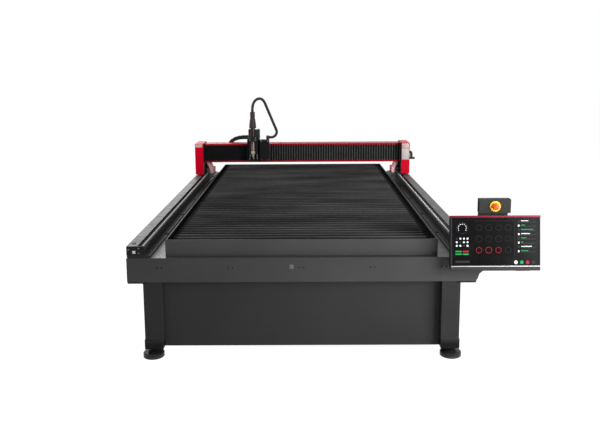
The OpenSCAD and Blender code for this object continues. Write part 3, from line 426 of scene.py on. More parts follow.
@dataclass(frozen=True)
class HoodPaint(PowderCoat):
    """Red paint of the guards, paler on the faces that look to the front as a painted highlight."""

    pale: Colour = (1.0, 0.52, 0.55)
    flake: float = 0.55

    def paint(self, graph: Graph) -> None:
        """Builds the paint and the painted highlight on its front.

        Args:
            graph: Node tree of the material.
        """
        painted_highlight = graph.ramp(graph.noise(DUST), *tones(self.pale, 0.93, 1.05))
        graph.colour(graph.mix(graph.frontness(), self.coat(graph), painted_highlight))
        graph.set(Metallic=self.flake)


@dataclass(frozen=True)
class LegPaint(PowderCoat):
    """Powder paint of the legs, painted black as shade near the floor and on the head plates beside them."""

    foot_shade: Pair = (0.091, 0.127)
    plate: float = 0.4
    side: float = 1.0

    def paint(self, graph: Graph) -> None:
        """Builds the paint and its black ends of painted shade.

        Args:
            graph: Node tree of the material.
        """
        black = graph.ramp(graph.noise(SHADE_MOTTLE), grey(0.003), grey(0.007))
        body = graph.mix(graph.rise(Axis.Z, *self.foot_shade), black, self.coat(graph))
        # the head plates outboard of the legs are painted black as shade
        head = graph.rise(Axis.Z, self.plate - SOFT_EDGE, self.plate + SOFT_EDGE)
        graph.colour(graph.mix(graph.inward(self.side), graph.mix(head, body, black), body))


@dataclass(frozen=True)
class BareMetal(Finish):
    """Brushed, ground or milled metal with lines along its grain."""

    base: Colour
    gloss: float = 0.34
    grain: Grain = Grain.ALONG
    stain: float = 0.3

    def skin(self, graph: Graph) -> Socket:
        """Builds the metal's roughness and bump.

        Args:
            graph: Node tree of the material.

        Returns:
            Socket of the metal's colour.
        """
        lines = graph.noise(Pattern(900, 2, self.grain.value))
        metal = graph.ramp(lines, *tones(self.base, 0.82, 1.15))
        film = graph.ramp(graph.noise(FILM), *tones(self.base, 0.55, 0.9), start=0.35)
        graph.set(Roughness=graph.span(lines, self.gloss - 0.07, self.gloss + 0.1), Metallic=1.0)
        graph.bump(lines, depth=0.0001, strength=0.25)
        return graph.mix(graph.span(graph.noise(STAINS), 0.0, self.stain), metal, film)

    def paint(self, graph: Graph) -> None:
        """Builds the metal."""
        graph.colour(self.skin(graph))


@dataclass(frozen=True)
class SmokedMetal(BareMetal):
    """Bare metal that is smoked dark above a height."""

    start: float = 0.0
    end: float = 1.0

    def paint(self, graph: Graph) -> None:
        """Builds the metal and the smoke on it."""
        smoke = graph.ramp(graph.noise(SMEARS), *tones(self.base, 0.1, 0.28))
        graph.colour(graph.mix(graph.rise(Axis.Z, self.start, self.end), self.skin(graph), smoke))


@dataclass(frozen=True)
class OiledRack(BareMetal):
    """Rack steel that is dark with oil, but for the outer edge that the pinion keeps bright."""

    edge: float = 1.0

    def paint(self, graph: Graph) -> None:
        """Builds the steel and the oil on it."""
        oil = graph.ramp(graph.noise(SMEARS), *tones(self.base, 0.11, 0.2))
        graph.colour(graph.mix(graph.inward(self.edge), self.skin(graph), oil))


@dataclass(frozen=True)
class GreasedGuide(BareMetal):
    """Guide steel that is black with grease along its length and bare on its sawn front end."""

    def paint(self, graph: Graph) -> None:
        """Builds the steel and the grease on it."""
        grease = graph.ramp(graph.noise(SMEARS), *tones(self.base, 0.03, 0.06))
        graph.colour(graph.mix(graph.frontness(), grease, self.skin(graph)))


@dataclass(frozen=True)
class BurntSteel(Finish):
    """Mill steel browned by cutting, with paler dross along the upper edge that is also a painted highlight,
    and ends painted near black as shade.
    """

    low: float
    high: float
    reach: float = FAR
    shine: float = 0.12

    def paint(self, graph: Graph) -> None:
        """Builds the stained steel.

        Args:
            graph: Node tree of the material.
        """
        scale = graph.ramp(graph.noise(MILL_SCALE), grey(0.004), grey(0.010))
        brown = graph.ramp(graph.noise(BROWNING), (0.012, 0.011, 0.010), (0.022, 0.020, 0.018))
        body = graph.mix(graph.span(graph.noise(BROWN_PATCHES), 0.0, 0.4, 0.45, 0.75), scale, brown)
        # the paler upper rim is dross and a painted highlight
        dross_and_highlight = graph.ramp(graph.noise(DROSS), grey(0.058), (0.132, 0.132, 0.130))
        patch = graph.span(graph.noise(DROSS_RUNS), 0.28, 1.0, 0.35, 0.65)
        rim = graph.times(graph.rise(Axis.Z, self.low, self.high), patch)
        # the ends are painted near black as the shade under the frame
        painted_shade = graph.ramp(graph.noise(SHADE_MOTTLE), grey(0.003), grey(0.008))
        graph.colour(graph.mix(graph.inward(self.reach, edge=0.003), painted_shade, graph.mix(rim, body, dross_and_highlight)))
        graph.set(Roughness=graph.span(graph.noise(SMEARS), 0.5, 0.75), Specular_IOR_Level=self.shine)
        graph.bump(graph.noise(SPATTER), depth=0.0006, strength=0.6)


@dataclass(frozen=True)
class Moulded(Finish):
    """Moulded plastic or rubber with a fine spark-eroded grain."""

    base: Colour
    gloss: float = 0.5
    pits: float = 700
    shine: float = 0.3

    def grain(self, graph: Graph) -> Socket:
        """Returns the socket of the moulding's grain."""
        return graph.noise(Pattern(self.pits, 3))

    def skin(self, graph: Graph) -> Socket:
        """Builds the moulding's roughness and bump.

        Args:
            graph: Node tree of the material.

        Returns:
            Socket of the moulding's colour.
        """
        grain = self.grain(graph)
        skin = graph.ramp(grain, *tones(self.base, 0.85, 1.15))
        scuff = graph.ramp(graph.noise(SCUFFS), *tones(self.base, 0.95, 1.5), start=0.4, end=0.75)
        graph.set(Roughness=graph.span(graph.noise(TOUCH_MARKS), self.gloss - 0.06, self.gloss + 0.1),
                  Specular_IOR_Level=self.shine)
        graph.bump(grain, depth=0.00025, strength=0.35)
        return graph.mix(graph.span(graph.noise(SCUFF_PATCHES), 0.0, 0.35), skin, scuff)

    def paint(self, graph: Graph) -> None:
        """Builds the moulding."""
        graph.colour(self.skin(graph))


@dataclass(frozen=True)
class LippedPlastic(Moulded):
    """A dark moulding with a grey lip along its lower edge."""

    lip: float = 0.08
    height: float = 0.0
    fade: float = 0.0006

    def paint(self, graph: Graph) -> None:
        """Builds the moulding and its lip.

        Args:
            graph: Node tree of the material.
        """
        lip = graph.ramp(self.grain(graph), *tones(grey(self.lip), 0.9, 1.1))
        above = graph.rise(Axis.Z, self.height - self.fade, self.height + self.fade)
        graph.colour(graph.mix(above, lip, self.skin(graph)))


@dataclass(frozen=True)
class PleatCloth(Finish):
    """Coated cloth of the bellows, with its weave and paler fold crests that are a painted highlight."""

    base: Colour
    front: float
    crest_brightness: float = 4.0
    crest_depth: float = 0.006
    threads: float = 260
    unevenness: float = 0.6

    def paint(self, graph: Graph) -> None:
        """Builds the cloth.

        Args:
            graph: Node tree of the material.
        """
        wave = graph.add("ShaderNodeTexWave", {
            "Vector": graph.place, "Scale": self.threads, "Distortion": self.unevenness,
        }, wave_type="BANDS", bands_direction="Z")
        weave = wave.outputs["Fac"]
        cloth = graph.ramp(weave, *tones(self.base, 0.8, 1.25), start=0.2, end=0.8)
        # the front crests are painted paler as a highlight
        crest_highlight = graph.ramp(graph.noise(RUBBING), *tones(shade(self.base, self.crest_brightness), 1.0, 1.5))
        behind = graph.rise(Axis.Y, self.front, self.front + self.crest_depth)
        graph.colour(graph.mix(behind, crest_highlight, cloth))
        graph.set(Roughness=graph.span(graph.noise(NAP), 0.5, 0.7), Specular_IOR_Level=0.12)
        graph.bump(weave, depth=0.0002, strength=0.4)


@dataclass(frozen=True)
class DisplayGlass(Finish):
    """Dark coated glass of the display."""

    base: Colour

    def paint(self, graph: Graph) -> None:
        """Builds the glass."""
        graph.colour(graph.ramp(graph.noise(GLASS_TINT), *tones(self.base, 0.7, 1.4)))
        graph.set(Roughness=graph.span(graph.noise(GLASS_SMEARS), 0.16, 0.3), Specular_IOR_Level=0.06)


@dataclass(frozen=True)
class LitTile(Finish):
    """A lit area of the display, made of fine pixel rows."""

    base: Colour
    light: float = 0.3

    def paint(self, graph: Graph) -> None:
        """Builds the glowing tile.

        Args:
            graph: Node tree of the material.
        """
        glow = graph.ramp(graph.noise(PIXEL_ROWS), *tones(self.base, 0.86, 1.0))
        graph.colour(glow)
        graph.set(Emission_Color=glow, Emission_Strength=self.light, Roughness=0.3, Specular_IOR_Level=0.04)


def inside(node: str, rim: Point) -> tuple[Point, Point]:
    """Returns the corners of a solid's box, drawn in by a rim along each axis."""
    low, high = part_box(node)
    return tuple(low + Vector(rim)), tuple(high - Vector(rim))


APRON_RIM = (0.004, 0.0006, 0.004)
PAN_RIM = (0.0005, 0.0015, -0.002)
LEG_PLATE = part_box("legs")[1].z - 0.0115
LEG_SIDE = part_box("front_apron")[1].x - 0.118
RACK_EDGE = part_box("rail_racks")[1].x - 0.009
SLAT_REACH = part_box("slats")[1].x - 0.022
LIP_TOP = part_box("monitor_housing")[0].z + 0.0268
STEEL_GREY = (0.52, 0.53, 0.55)

CHARCOAL = PowderCoat("charcoal_paint", (0.046, 0.046, 0.047), gloss=0.42, shine=0.06)
# The aprons' insides are painted near black as shade.
APRON, REAR_APRON = (
    InsideShadePaint(name, CHARCOAL.base, gloss=0.42, shine=0.06, area=inside(node, APRON_RIM))
    for name, node in (("apron_paint", "front_apron"), ("rear_apron_paint", "rear_apron")))
# The skirt is the charcoal paint made darker as painted shade under the apron.
SHADED_SKIRT = PowderCoat("shaded_skirt_paint", (0.028, 0.028, 0.028), gloss=0.44, dust=0.1, shine=0.06)
# The ledges' tops turn paler towards the rear as a painted reflection.
LEDGE = RearGlarePaint("ledge_paint", (0.062, 0.062, 0.063), gloss=0.32, shine=0.17, start=0.1, end=0.9)
# The legs' feet and the head plates beside them are painted black as shade.
LEG_PAINT = LegPaint("leg_paint", (0.021, 0.021, 0.022), gloss=0.42, dust=0.1, shine=0.08,
                     plate=LEG_PLATE, side=LEG_SIDE)
FOOT = PowderCoat("foot_paint", (0.010, 0.010, 0.0105), gloss=0.30, dust=0.06, shine=0.2)
# The pan's inside is painted near black as shade.
PAN_PAINT = InsideShadePaint("pan_paint", (0.054, 0.054, 0.055), gloss=0.44, dust=0.15, shine=0.06,
                        area=inside("water_pan", PAN_RIM))
RED = PowderCoat("red_paint", (0.62, 0.001, 0.019), gloss=0.34, dust=0.01, shine=0.04, polish=0.12)
# The beam's covers are the red paint made darker as painted shade.
SHADED_BEAM_RED = PowderCoat("shaded_beam_red", (0.35, 0.007, 0.016), gloss=0.34, dust=0.02, shine=0.06, polish=0.09)
BAR_RED = PowderCoat("bar_red", (0.15, 0.008, 0.022), gloss=0.4, dust=0.02)
BOX_PAINT = PowderCoat("box_paint", (0.023, 0.023, 0.022), gloss=0.42, dust=0.1, shine=0.06)
# The guards' front faces are painted pale as a highlight.
HOOD_RED = HoodPaint("hood_paint", (0.50, 0.004, 0.018), gloss=0.4, dust=0.05)
BLACK = PowderCoat("black_paint", (0.008, 0.008, 0.0085), gloss=0.42, dust=0.05, shine=0.12)
GREY_PAINT = PowderCoat("cabinet_paint", (0.095, 0.097, 0.1))
COVER_GREY = PowderCoat("rail_cover_grey", (0.095, 0.095, 0.097), gloss=0.40, dust=0.1, shine=0.14)
RAIL_METAL = BareMetal("rail_extrusion", (0.040, 0.040, 0.041), gloss=0.46, stain=0.5)
GREASED = GreasedGuide("greased_guide", STEEL_GREY, gloss=0.36, stain=0.2)
GROUND = BareMetal("ground_steel", STEEL_GREY, gloss=0.26, stain=0.2)
GROUND_ACROSS = BareMetal("ground_steel_across", STEEL_GREY, gloss=0.26, grain=Grain.ACROSS, stain=0.2)
SCREW_STEEL = BareMetal("lift_steel", (0.33, 0.335, 0.34), gloss=0.26, grain=Grain.NONE)
GEAR = BareMetal("gear_steel", (0.20, 0.195, 0.19), gloss=0.36, grain=Grain.NONE, stain=0.6)
RACK = OiledRack("rack_steel", (0.40, 0.395, 0.39), gloss=0.55, grain=Grain.NONE, stain=0.4, edge=RACK_EDGE)
BEAM_METAL = BareMetal("beam_aluminium", (0.42, 0.43, 0.44), gloss=0.38, grain=Grain.ACROSS, stain=0.2)
MILLED = BareMetal("dark_anodised", (0.030, 0.029, 0.029), gloss=0.36, grain=Grain.UPRIGHT, stain=0.25)
BARREL = SmokedMetal("torch_barrel", (0.16, 0.13, 0.11), gloss=0.36, grain=Grain.UPRIGHT, stain=0.4,
                     start=1.0, end=1.06)
CAP = Moulded("torch_cap", (0.50, 0.44, 0.38), gloss=0.34, pits=500)
VALVE = BareMetal("valve_brass", (0.62, 0.45, 0.18), grain=Grain.NONE, stain=0.4)
BOLT = BareMetal("bolt_steel", (0.12, 0.12, 0.125), gloss=0.38, grain=Grain.NONE, stain=0.4)
SILVER = BareMetal("bright_screw", (0.62, 0.62, 0.63), gloss=0.28, grain=Grain.NONE, stain=0.1)
# The slats' upper edge is paler as dross and painted highlight; their ends are painted near black as shade.
SLAT = BurntSteel("slat_steel", low=0.732, high=0.741, reach=SLAT_REACH)
COMB = BurntSteel("comb_steel", low=0.80, high=0.82)
HOUSING = LippedPlastic("housing_plastic", (0.010, 0.010, 0.011), gloss=0.46, shine=0.12, lip=0.022,
                        height=LIP_TOP)
TRIM = Moulded("pale_trim", (0.40, 0.40, 0.41), gloss=0.36, pits=900)
PLASTIC = Moulded("black_plastic", (0.012, 0.012, 0.013), gloss=0.42)
CHAIN = Moulded("chain_plastic", (0.010, 0.010, 0.011), gloss=0.40, pits=500)
MOTOR = Moulded("motor_case", (0.007, 0.007, 0.008), gloss=0.40, pits=900, shine=0.18)
HOSE = Moulded("lead_rubber", (0.009, 0.009, 0.009), gloss=0.40, pits=1100)
BOOT = Moulded("boot_rubber", (0.026, 0.016, 0.016), gloss=0.48, pits=800)
PAD = Moulded("pad_rubber", (0.010, 0.010, 0.010), gloss=0.62, pits=400)
YELLOW = Moulded("collar_yellow", (0.82, 0.50, 0.02), gloss=0.3, pits=1200)
STOP_RED = Moulded("button_red", (0.74, 0.055, 0.012), gloss=0.24, pits=1200)
PLATE = Moulded("bare_plate", (0.52, 0.49, 0.48), gloss=0.4, pits=900)
WARM_PLATE = Moulded("warm_plate", (0.58, 0.44, 0.41), gloss=0.4, pits=900)
TAG = Moulded("bare_tag", (0.10, 0.10, 0.10), gloss=0.4, pits=900)
PLUG = Moulded("cover_plug", (0.006, 0.006, 0.006), gloss=0.8, pits=600, shine=0.0)
# The right cover's crests are painted brighter as the side the light falls on.
PLEATS = PleatCloth("bellows_cloth", (0.019, 0.019, 0.0195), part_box("left_bellows")[0].y, crest_brightness=2.0)
LIT_SIDE_PLEATS = PleatCloth("lit_side_bellows_cloth", (0.020, 0.020, 0.0205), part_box("right_bellows")[0].y, crest_brightness=5.0)
GLASS = DisplayGlass("display_glass", (0.0022, 0.0022, 0.0026))
LIT_PANEL = LitTile("display_panel", (0.002, 0.002, 0.0022))
LIT_GREY = LitTile("display_grey", (0.018, 0.018, 0.019))
LIT_LINE = LitTile("display_line", (0.024, 0.024, 0.026))
LIT_WHITE = LitTile("display_white", (0.50, 0.51, 0.52), light=0.35)
LIT_GREEN = LitTile("display_green", (0.012, 0.19, 0.04), light=0.45)
LIT_RED = LitTile("display_red", (0.26, 0.015, 0.026), light=0.4)


@dataclass(frozen=True)
class HeadForm:
    """Form of a screw's head or a plug, in shares of its diameter.

    Each ring has its foot, its top and its radius at both. The black disc painted as shade in the socket has
    its foot, its top and its radius.
    """

    rings: tuple[tuple[float, float, float, float], ...]
    socket_shade: tuple[float, float, float]
    sides: int = 18
    socket_shade_sides: int = 6


class Head(Enum):
    """Socket heads, low button heads and flat snap-in plugs."""

    CAP = HeadForm(rings=((0.0, 0.4675, 0.5, 0.5), (0.4675, 0.55, 0.5, 0.43)), socket_shade=(0.539, 0.561, 0.27))
    DOME = HeadForm(rings=((0.0, 0.14, 0.5, 0.5), (0.14, 0.25, 0.5, 0.4), (0.25, 0.3, 0.4, 0.24)),
                    socket_shade=(0.29, 0.31, 0.2))
    PLUG = HeadForm(rings=((0.0, 0.05, 0.5, 0.5), (0.05, 0.09, 0.5, 0.42)), socket_shade=(0.085, 0.095, 0.3),
                    sides=24, socket_shade_sides=24)


class Shape:
    """A mesh under construction, in metres in the table's own frame."""

    def __init__(self, name: str) -> None:
        """Starts an empty mesh.

        Args:
            name: Name of the piece.
        """
        self.name = name
        self.mesh = bmesh.new()
        self.finishes: list[Finish] = []

    def _paint(self, verts: list[bmesh.types.BMVert], finish: Finish) -> None:
        """Gives the faces of new points a finish.

        Args:
            verts: The new points.
            finish: Finish of their faces.
        """
        if finish not in self.finishes:
            self.finishes.append(finish)
        index = self.finishes.index(finish)
        for face in {f for v in verts for f in v.link_faces}:
            face.material_index = index

    def box(self, low: Point, high: Point, finish: Finish, bevel: float = 0.0,
            turn: Matrix | None = None) -> None:
        """Adds a box with bevelled edges.

        Args:
            low: Lowest corner.
            high: Highest corner.
            finish: Finish of its faces.
            bevel: Width of the bevel on every edge.
            turn: Frame that the corners are given in, the table's if left out.
        """
        a, b = Vector(low), Vector(high)
        place = Matrix.Translation((a + b) / 2) @ Matrix.Diagonal((*(b - a), 1.0))
        made = bmesh.ops.create_cube(self.mesh, size=1.0, matrix=(turn or Matrix()) @ place)["verts"]
        self._paint(made, finish)
        if bevel > 0:
            edges = list({e for v in made for e in v.link_edges})
            bmesh.ops.bevel(self.mesh, geom=edges, offset=bevel, segments=2, profile=0.5, affect="EDGES")

    def rod(self, start: Point, end: Point, radius: float, finish: Finish, sides: int,
            tip: float | None = None) -> None:
        """Adds a round rod or cone with closed ends.

        Args:
            start: Middle of its first end.
            end: Middle of its second end.
            radius: Radius at the first end.
            finish: Finish of its faces.
            sides: Number of sides.
            tip: Radius at the second end, the first one's if left out.
        """
        a, b = Vector(start), Vector(end)
        way = b - a
        turn = way.to_track_quat("Z", "Y").to_matrix().to_4x4()
        made = bmesh.ops.create_cone(
            self.mesh, cap_ends=True, segments=sides, radius1=radius,
            radius2=radius if tip is None else tip, depth=way.length,
            matrix=Matrix.Translation((a + b) / 2) @ turn)["verts"]
        self._paint(made, finish)

    def head(self, kind: Head, seat: Point, out: Point, size: float, finish: Finish) -> None:
        """Adds a screw's head or a plug with a black disc in its socket as painted shade.

        Args:
            kind: Kind of head.
            seat: Middle of its seat.
            out: Direction that it points to.
            size: Its diameter.
            finish: Finish of the head.
        """
        form, foot, way = kind.value, Vector(seat), Vector(out).normalized() * size
        for low, high, wide, narrow in form.rings:
            self.rod(foot + way * low, foot + way * high, size * wide, finish, form.sides, size * narrow)
        low, high, radius = form.socket_shade
        # the socket is a black disc, painted shade in place of a hollow
        self.rod(foot + way * low, foot + way * high, size * radius, BLACK, form.socket_shade_sides)

    def tube(self, points: list[Vector], radius: float, finish: Finish, sides: int) -> None:
        """Sweeps a round tube with closed ends along a path.

        Args:
            points: Places along the path's middle.
            radius: Radius of the tube.
            finish: Finish of its faces.
            sides: Number of sides.
        """
        rings = []
        side = Vector(REAR)
        last = len(points) - 1
        turns = [2 * math.pi * k / sides for k in range(sides)]
        for i, p in enumerate(points):
            way = (points[min(last, i + 1)] - points[max(0, i - 1)]).normalized()
            side = (side - way * side.dot(way)).normalized()
            other = way.cross(side)
            rings.append([self.mesh.verts.new(p + radius * (math.cos(t) * side + math.sin(t) * other))
                          for t in turns])
        for low, high in zip(rings, rings[1:]):
            for k in range(sides):
                n = (k + 1) % sides
                self.mesh.faces.new((low[k], low[n], high[n], high[k]))
        self.mesh.faces.new(list(reversed(rings[0])))
        self.mesh.faces.new(rings[-1])
        self._paint([v for ring in rings for v in ring], finish)

    def sheet(self, outline: list[Pair], low: float, high: float, finish: Finish) -> None:
        """Raises a folded sheet's outline in X and Y between two heights.

        Args:
            outline: Corners along its front and back along its rear, as many on each.
            low: Lower height.
            high: Upper height.
            finish: Finish of its faces.
        """
        count = len(outline)
        floor = [self.mesh.verts.new((x, y, low)) for x, y in outline]
        roof = [self.mesh.verts.new((x, y, high)) for x, y in outline]
        for k in range(count):
            n = (k + 1) % count
            self.mesh.faces.new((floor[k], floor[n], roof[n], roof[k]))
        for ring in (floor, roof):
            for k in range(count // 2 - 1):
                self.mesh.faces.new((ring[k], ring[k + 1], ring[count - 2 - k], ring[count - 1 - k]))
        self._paint(floor + roof, finish)

    def done(self, smooth: float = EDGE_ANGLE) -> bpy.types.Object:
        """Turns the mesh into an object.

        Args:
            smooth: Angle in degrees below which faces shade as one surface.

        Returns:
            The new object, not yet riding on a body.
        """
        bmesh.ops.recalc_face_normals(self.mesh, faces=self.mesh.faces)
        data = bpy.data.meshes.new(self.name)
        self.mesh.to_mesh(data)
        self.mesh.free()
        for finish in self.finishes:
            data.materials.append(finish.material())
        data.shade_smooth()
        data.set_sharp_from_angle(angle=math.radians(smooth))
        piece = bpy.data.objects.new(self.name, data)
        bpy.context.scene.collection.objects.link(piece)
        return piece


def report(piece: bpy.types.Object, body: str) -> None:
    """Logs a finished piece and what it moves with."""
    LOG.info("%s on %s: %d faces", piece.name, body, len(piece.data.polygons))


@dataclass
class Dressing:
    """Gives the solids their finishes and takes the sharpness off folded and cast edges."""

    finishes: dict[str, Finish] = field(default_factory=lambda: {
        "front_apron": APRON, "rear_apron": REAR_APRON, "side_beams": LEDGE, "cross_beams": CHARCOAL,
        "legs": LEG_PAINT, "skirt_panels": SHADED_SKIRT, "water_pan": PAN_PAINT, "console_bracket": CHARCOAL,
        "drive_cabinet": GREY_PAINT, "leveling_feet": FOOT, "foot_pads": PAD, "slats": SLAT,
        "slat_combs": COMB, "rail_beams": RAIL_METAL, "rail_covers": COVER_GREY, "guide_rails": GREASED,
        "rail_racks": RACK, "rail_end_caps": BLACK, "drain_valve": VALVE, "drain_lever": RED,
        "monitor_housing": HOUSING, "monitor_screen": GLASS, "stop_box": BOX_PAINT, "stop_collar": YELLOW,
        "stop_button": STOP_RED, "left_upright": RED, "right_upright": RED, "end_plates": BLACK,
        "gantry_beam": BEAM_METAL, "beam_covers": SHADED_BEAM_RED, "beam_guides": GROUND_ACROSS, "beam_rack": GEAR,
        "truck_blocks": GROUND, "drive_motors": MOTOR, "pinion_guards": HOOD_RED, "left_pinion": GEAR,
        "right_pinion": GEAR, "left_bellows": PLEATS, "right_bellows": LIT_SIDE_PLEATS, "chain_tray": BLACK,
        "cable_chain": CHAIN, "cable_elbow": PLASTIC, "carriage_plate": BLACK,
        "carriage_blocks": GROUND_ACROSS, "cross_motor": MOTOR, "cross_pinion": GEAR, "motor_cover": BLACK,
        "lifter_frame": BLACK, "lift_rods": SCREW_STEEL, "lift_motor": MOTOR, "lift_screw": SCREW_STEEL,
        "chain_bracket": BLACK, "chain_loop": CHAIN, "lead_gland": PLASTIC, "lift_slide": MILLED,
        "torch_clamp": MILLED, "torch_body": BARREL, "torch_nozzle": CAP, "torch_boot": BOOT,
        "torch_lead": HOSE,
    })
    soft_edges: dict[str, float] = field(default_factory=lambda: {
        "legs": 0.004, "skirt_panels": 0.002, "water_pan": 0.0015, "beam_covers": 0.0012,
        "left_upright": 0.004, "right_upright": 0.004, "monitor_housing": 0.004, "stop_box": 0.004,
        "rail_covers": 0.0008, "rail_end_caps": 0.001, "motor_cover": 0.0015, "lifter_frame": 0.0012,
        "lift_motor": 0.003, "carriage_plate": 0.0015, "torch_clamp": 0.0015, "lift_slide": 0.001,
        "console_bracket": 0.0015, "drive_cabinet": 0.003,
    })
    weld_gap: float = 0.00001
    round_steps: int = 2
    edge_angle: float = 40.0
    flatness: int = 100

    def apply(self) -> None:
        """Assigns every finish and softens the listed edges."""
        for name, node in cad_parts.items():
            node.data.materials.clear()
            node.data.materials.append(self.finishes[name].material())
        for name, width in self.soft_edges.items():
            self.soften(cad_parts[name], width)
        LOG.info("dressed %d solids", len(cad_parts))

    def soften(self, node: bpy.types.Object, width: float) -> None:
        """Adds a narrow round to a solid's edges.

        Args:
            node: The solid.
            width: Width of the round in metres.
        """
        weld = node.modifiers.new("weld", "WELD")
        weld.merge_threshold = self.weld_gap
        round_off = node.modifiers.new("round", "BEVEL")
        round_off.width = width
        round_off.segments = self.round_steps
        round_off.limit_method = "ANGLE"
        round_off.angle_limit = math.radians(self.edge_angle)
        even = node.modifiers.new("even", "WEIGHTED_NORMAL")
        even.mode = "FACE_AREA"
        even.weight = self.flatness
        even.keep_sharp = False


@dataclass
class Bellows:
    """The pleated covers on both sides of the carriage, which fold as it travels."""

    folds: int = 52
    depth: float = 0.019
    cloth: float = 0.0009
    crease: float = 0.22
    crease_depth: float = 0.12

    def outline(self, low: Vector, high: Vector) -> list[Pair]:
        """Folds the cloth to and fro between its two ends.

        Args:
            low: Lowest corner of the cover.
            high: Highest corner of the cover.

        Returns:
            Corners of the cloth in X and Y, along its front and back along its rear.
        """
        count = 2 * self.folds
        step = (high.x - low.x) / count
        ease, turn = self.crease * step, self.crease_depth * self.depth
        front: list[Pair] = []
        for i in range(count):
            x = low.x + i * step
            y, inward = (low.y + self.depth - 2 * self.cloth, -turn) if i % 2 else (low.y, turn)
            if i:
                front.append((x - ease, y + inward))
            front += [(x, y), (x + ease, y + inward)]
        front.append((high.x, low.y))
        return front + [(x, y + 2 * self.cloth) for x, y in reversed(front)]

    def build(self, name: str, node: str, cloth: Finish, fixed_first: bool) -> None:
        """Pleats one cover in the place of its solid.

        Args:
            name: Name of the piece.
            node: The solid that it stands for.
            cloth: Finish of its cloth.
            fixed_first: Whether its left end is the one on the gantry.
        """
        low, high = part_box(node)
        shape = Shape(name)
        shape.sheet(self.outline(low, high), low.z, high.z, cloth)
        piece = shape.done(ROUND_ANGLE)
        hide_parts(node)
        middle = (low + high) / 2
        ends = [(low.x, middle.y, middle.z), (high.x, middle.y, middle.z)]
        bodies = ("gantry", "carriage") if fixed_first else ("carriage", "gantry")
        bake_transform(piece, *bodies, start=ends[0], end=ends[1])
        self.fold_evenly(piece, low.x, high.x)
        report(piece, "gantry and carriage")

    def fold_evenly(self, piece: bpy.types.Object, left: float, right: float) -> None:
        """Makes every pleat take the same share of the carriage's travel, as a real bellows does.

        Args:
            piece: The pleated cover, already blended between its two bodies.
            left: Place of its left end.
            right: Place of its right end.
        """
        share = piece.data.attributes["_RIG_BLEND"].data
        for vert, value in zip(piece.data.vertices, share):
            value.value = min(1.0, max(0.0, (vert.co.x - left) / (right - left)))


@dataclass
class TorchLead:
    """The torch's hose pack from its boot, over and down to the gland on the carriage.

    The route is in millimetres from the middle of the boot's top.
    """

    diameter: float = 0.026
    sides: int = 18
    steps: int = 6
    fixed_end: Point = (0.20, 0.05, -0.186)
    lifted_end: Point = (0.02, 0.05, 0.004)
    route: tuple[Point, ...] = (
        (0, 0, 0), (0, 0, 24), (2, 0, 50), (8, 1, 76), (20, 3, 100), (38, 6, 118), (60, 10, 128),
        (84, 14, 126), (103, 18, 113), (117, 22, 92), (129, 26, 64), (142, 30, 32), (158, 34, -8),
        (176, 39, -52), (193, 44, -94), (208, 48, -132), (219, 51, -158), (227, 53, -178), (231, 54, -194),
        (229, 55, -212), (221, 55, -229), (208, 56, -242), (191, 56, -250), (174, 56, -252), (158, 56, -252))

    def start(self) -> Vector:
        """Returns the middle of the boot's top, where the lead leaves the torch."""
        low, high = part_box("torch_boot")
        return Vector(((low.x + high.x) / 2, (low.y + high.y) / 2, high.z))

    def path(self) -> list[Vector]:
        """Draws a smooth curve through the places of the route.

        Returns:
            Close points along the curve, in metres.
        """
        marks = [self.start() + Vector(p) / MILLIMETRES for p in self.route]
        marks = [2 * marks[0] - marks[1], *marks, 2 * marks[-1] - marks[-2]]
        close = []
        for a, b, c, d in zip(marks, marks[1:], marks[2:], marks[3:]):
            for k in range(self.steps):
                t = k / self.steps
                close.append(0.5 * (2 * b + (c - a) * t + (2 * a - 5 * b + 4 * c - d) * t ** 2
                                    + (3 * b - a - 3 * c + d) * t ** 3))
        return [*close, marks[-2]]

    def build(self) -> None:
        """Sweeps the lead and lets it bend between the lift and the carriage."""
        points = self.path()
        shape = Shape("hose_lead")
        shape.tube(points, self.diameter / 2, HOSE, self.sides)
        piece = shape.done(ROUND_ANGLE)
        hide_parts("torch_lead")
        low = points[0] + Vector(self.fixed_end)
        high = points[0] + Vector(self.lifted_end)
        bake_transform(piece, "carriage", "lift", start=low, end=high)
        report(piece, "carriage and lift")


@dataclass(frozen=True)
class TrimBar:
    """A straight bar on the monitor's front: its ends along X, Y and Z, its finish and its bevel."""

    xs: Pair
    ys: Pair
    zs: Pair
    finish: Finish
    bevel: float


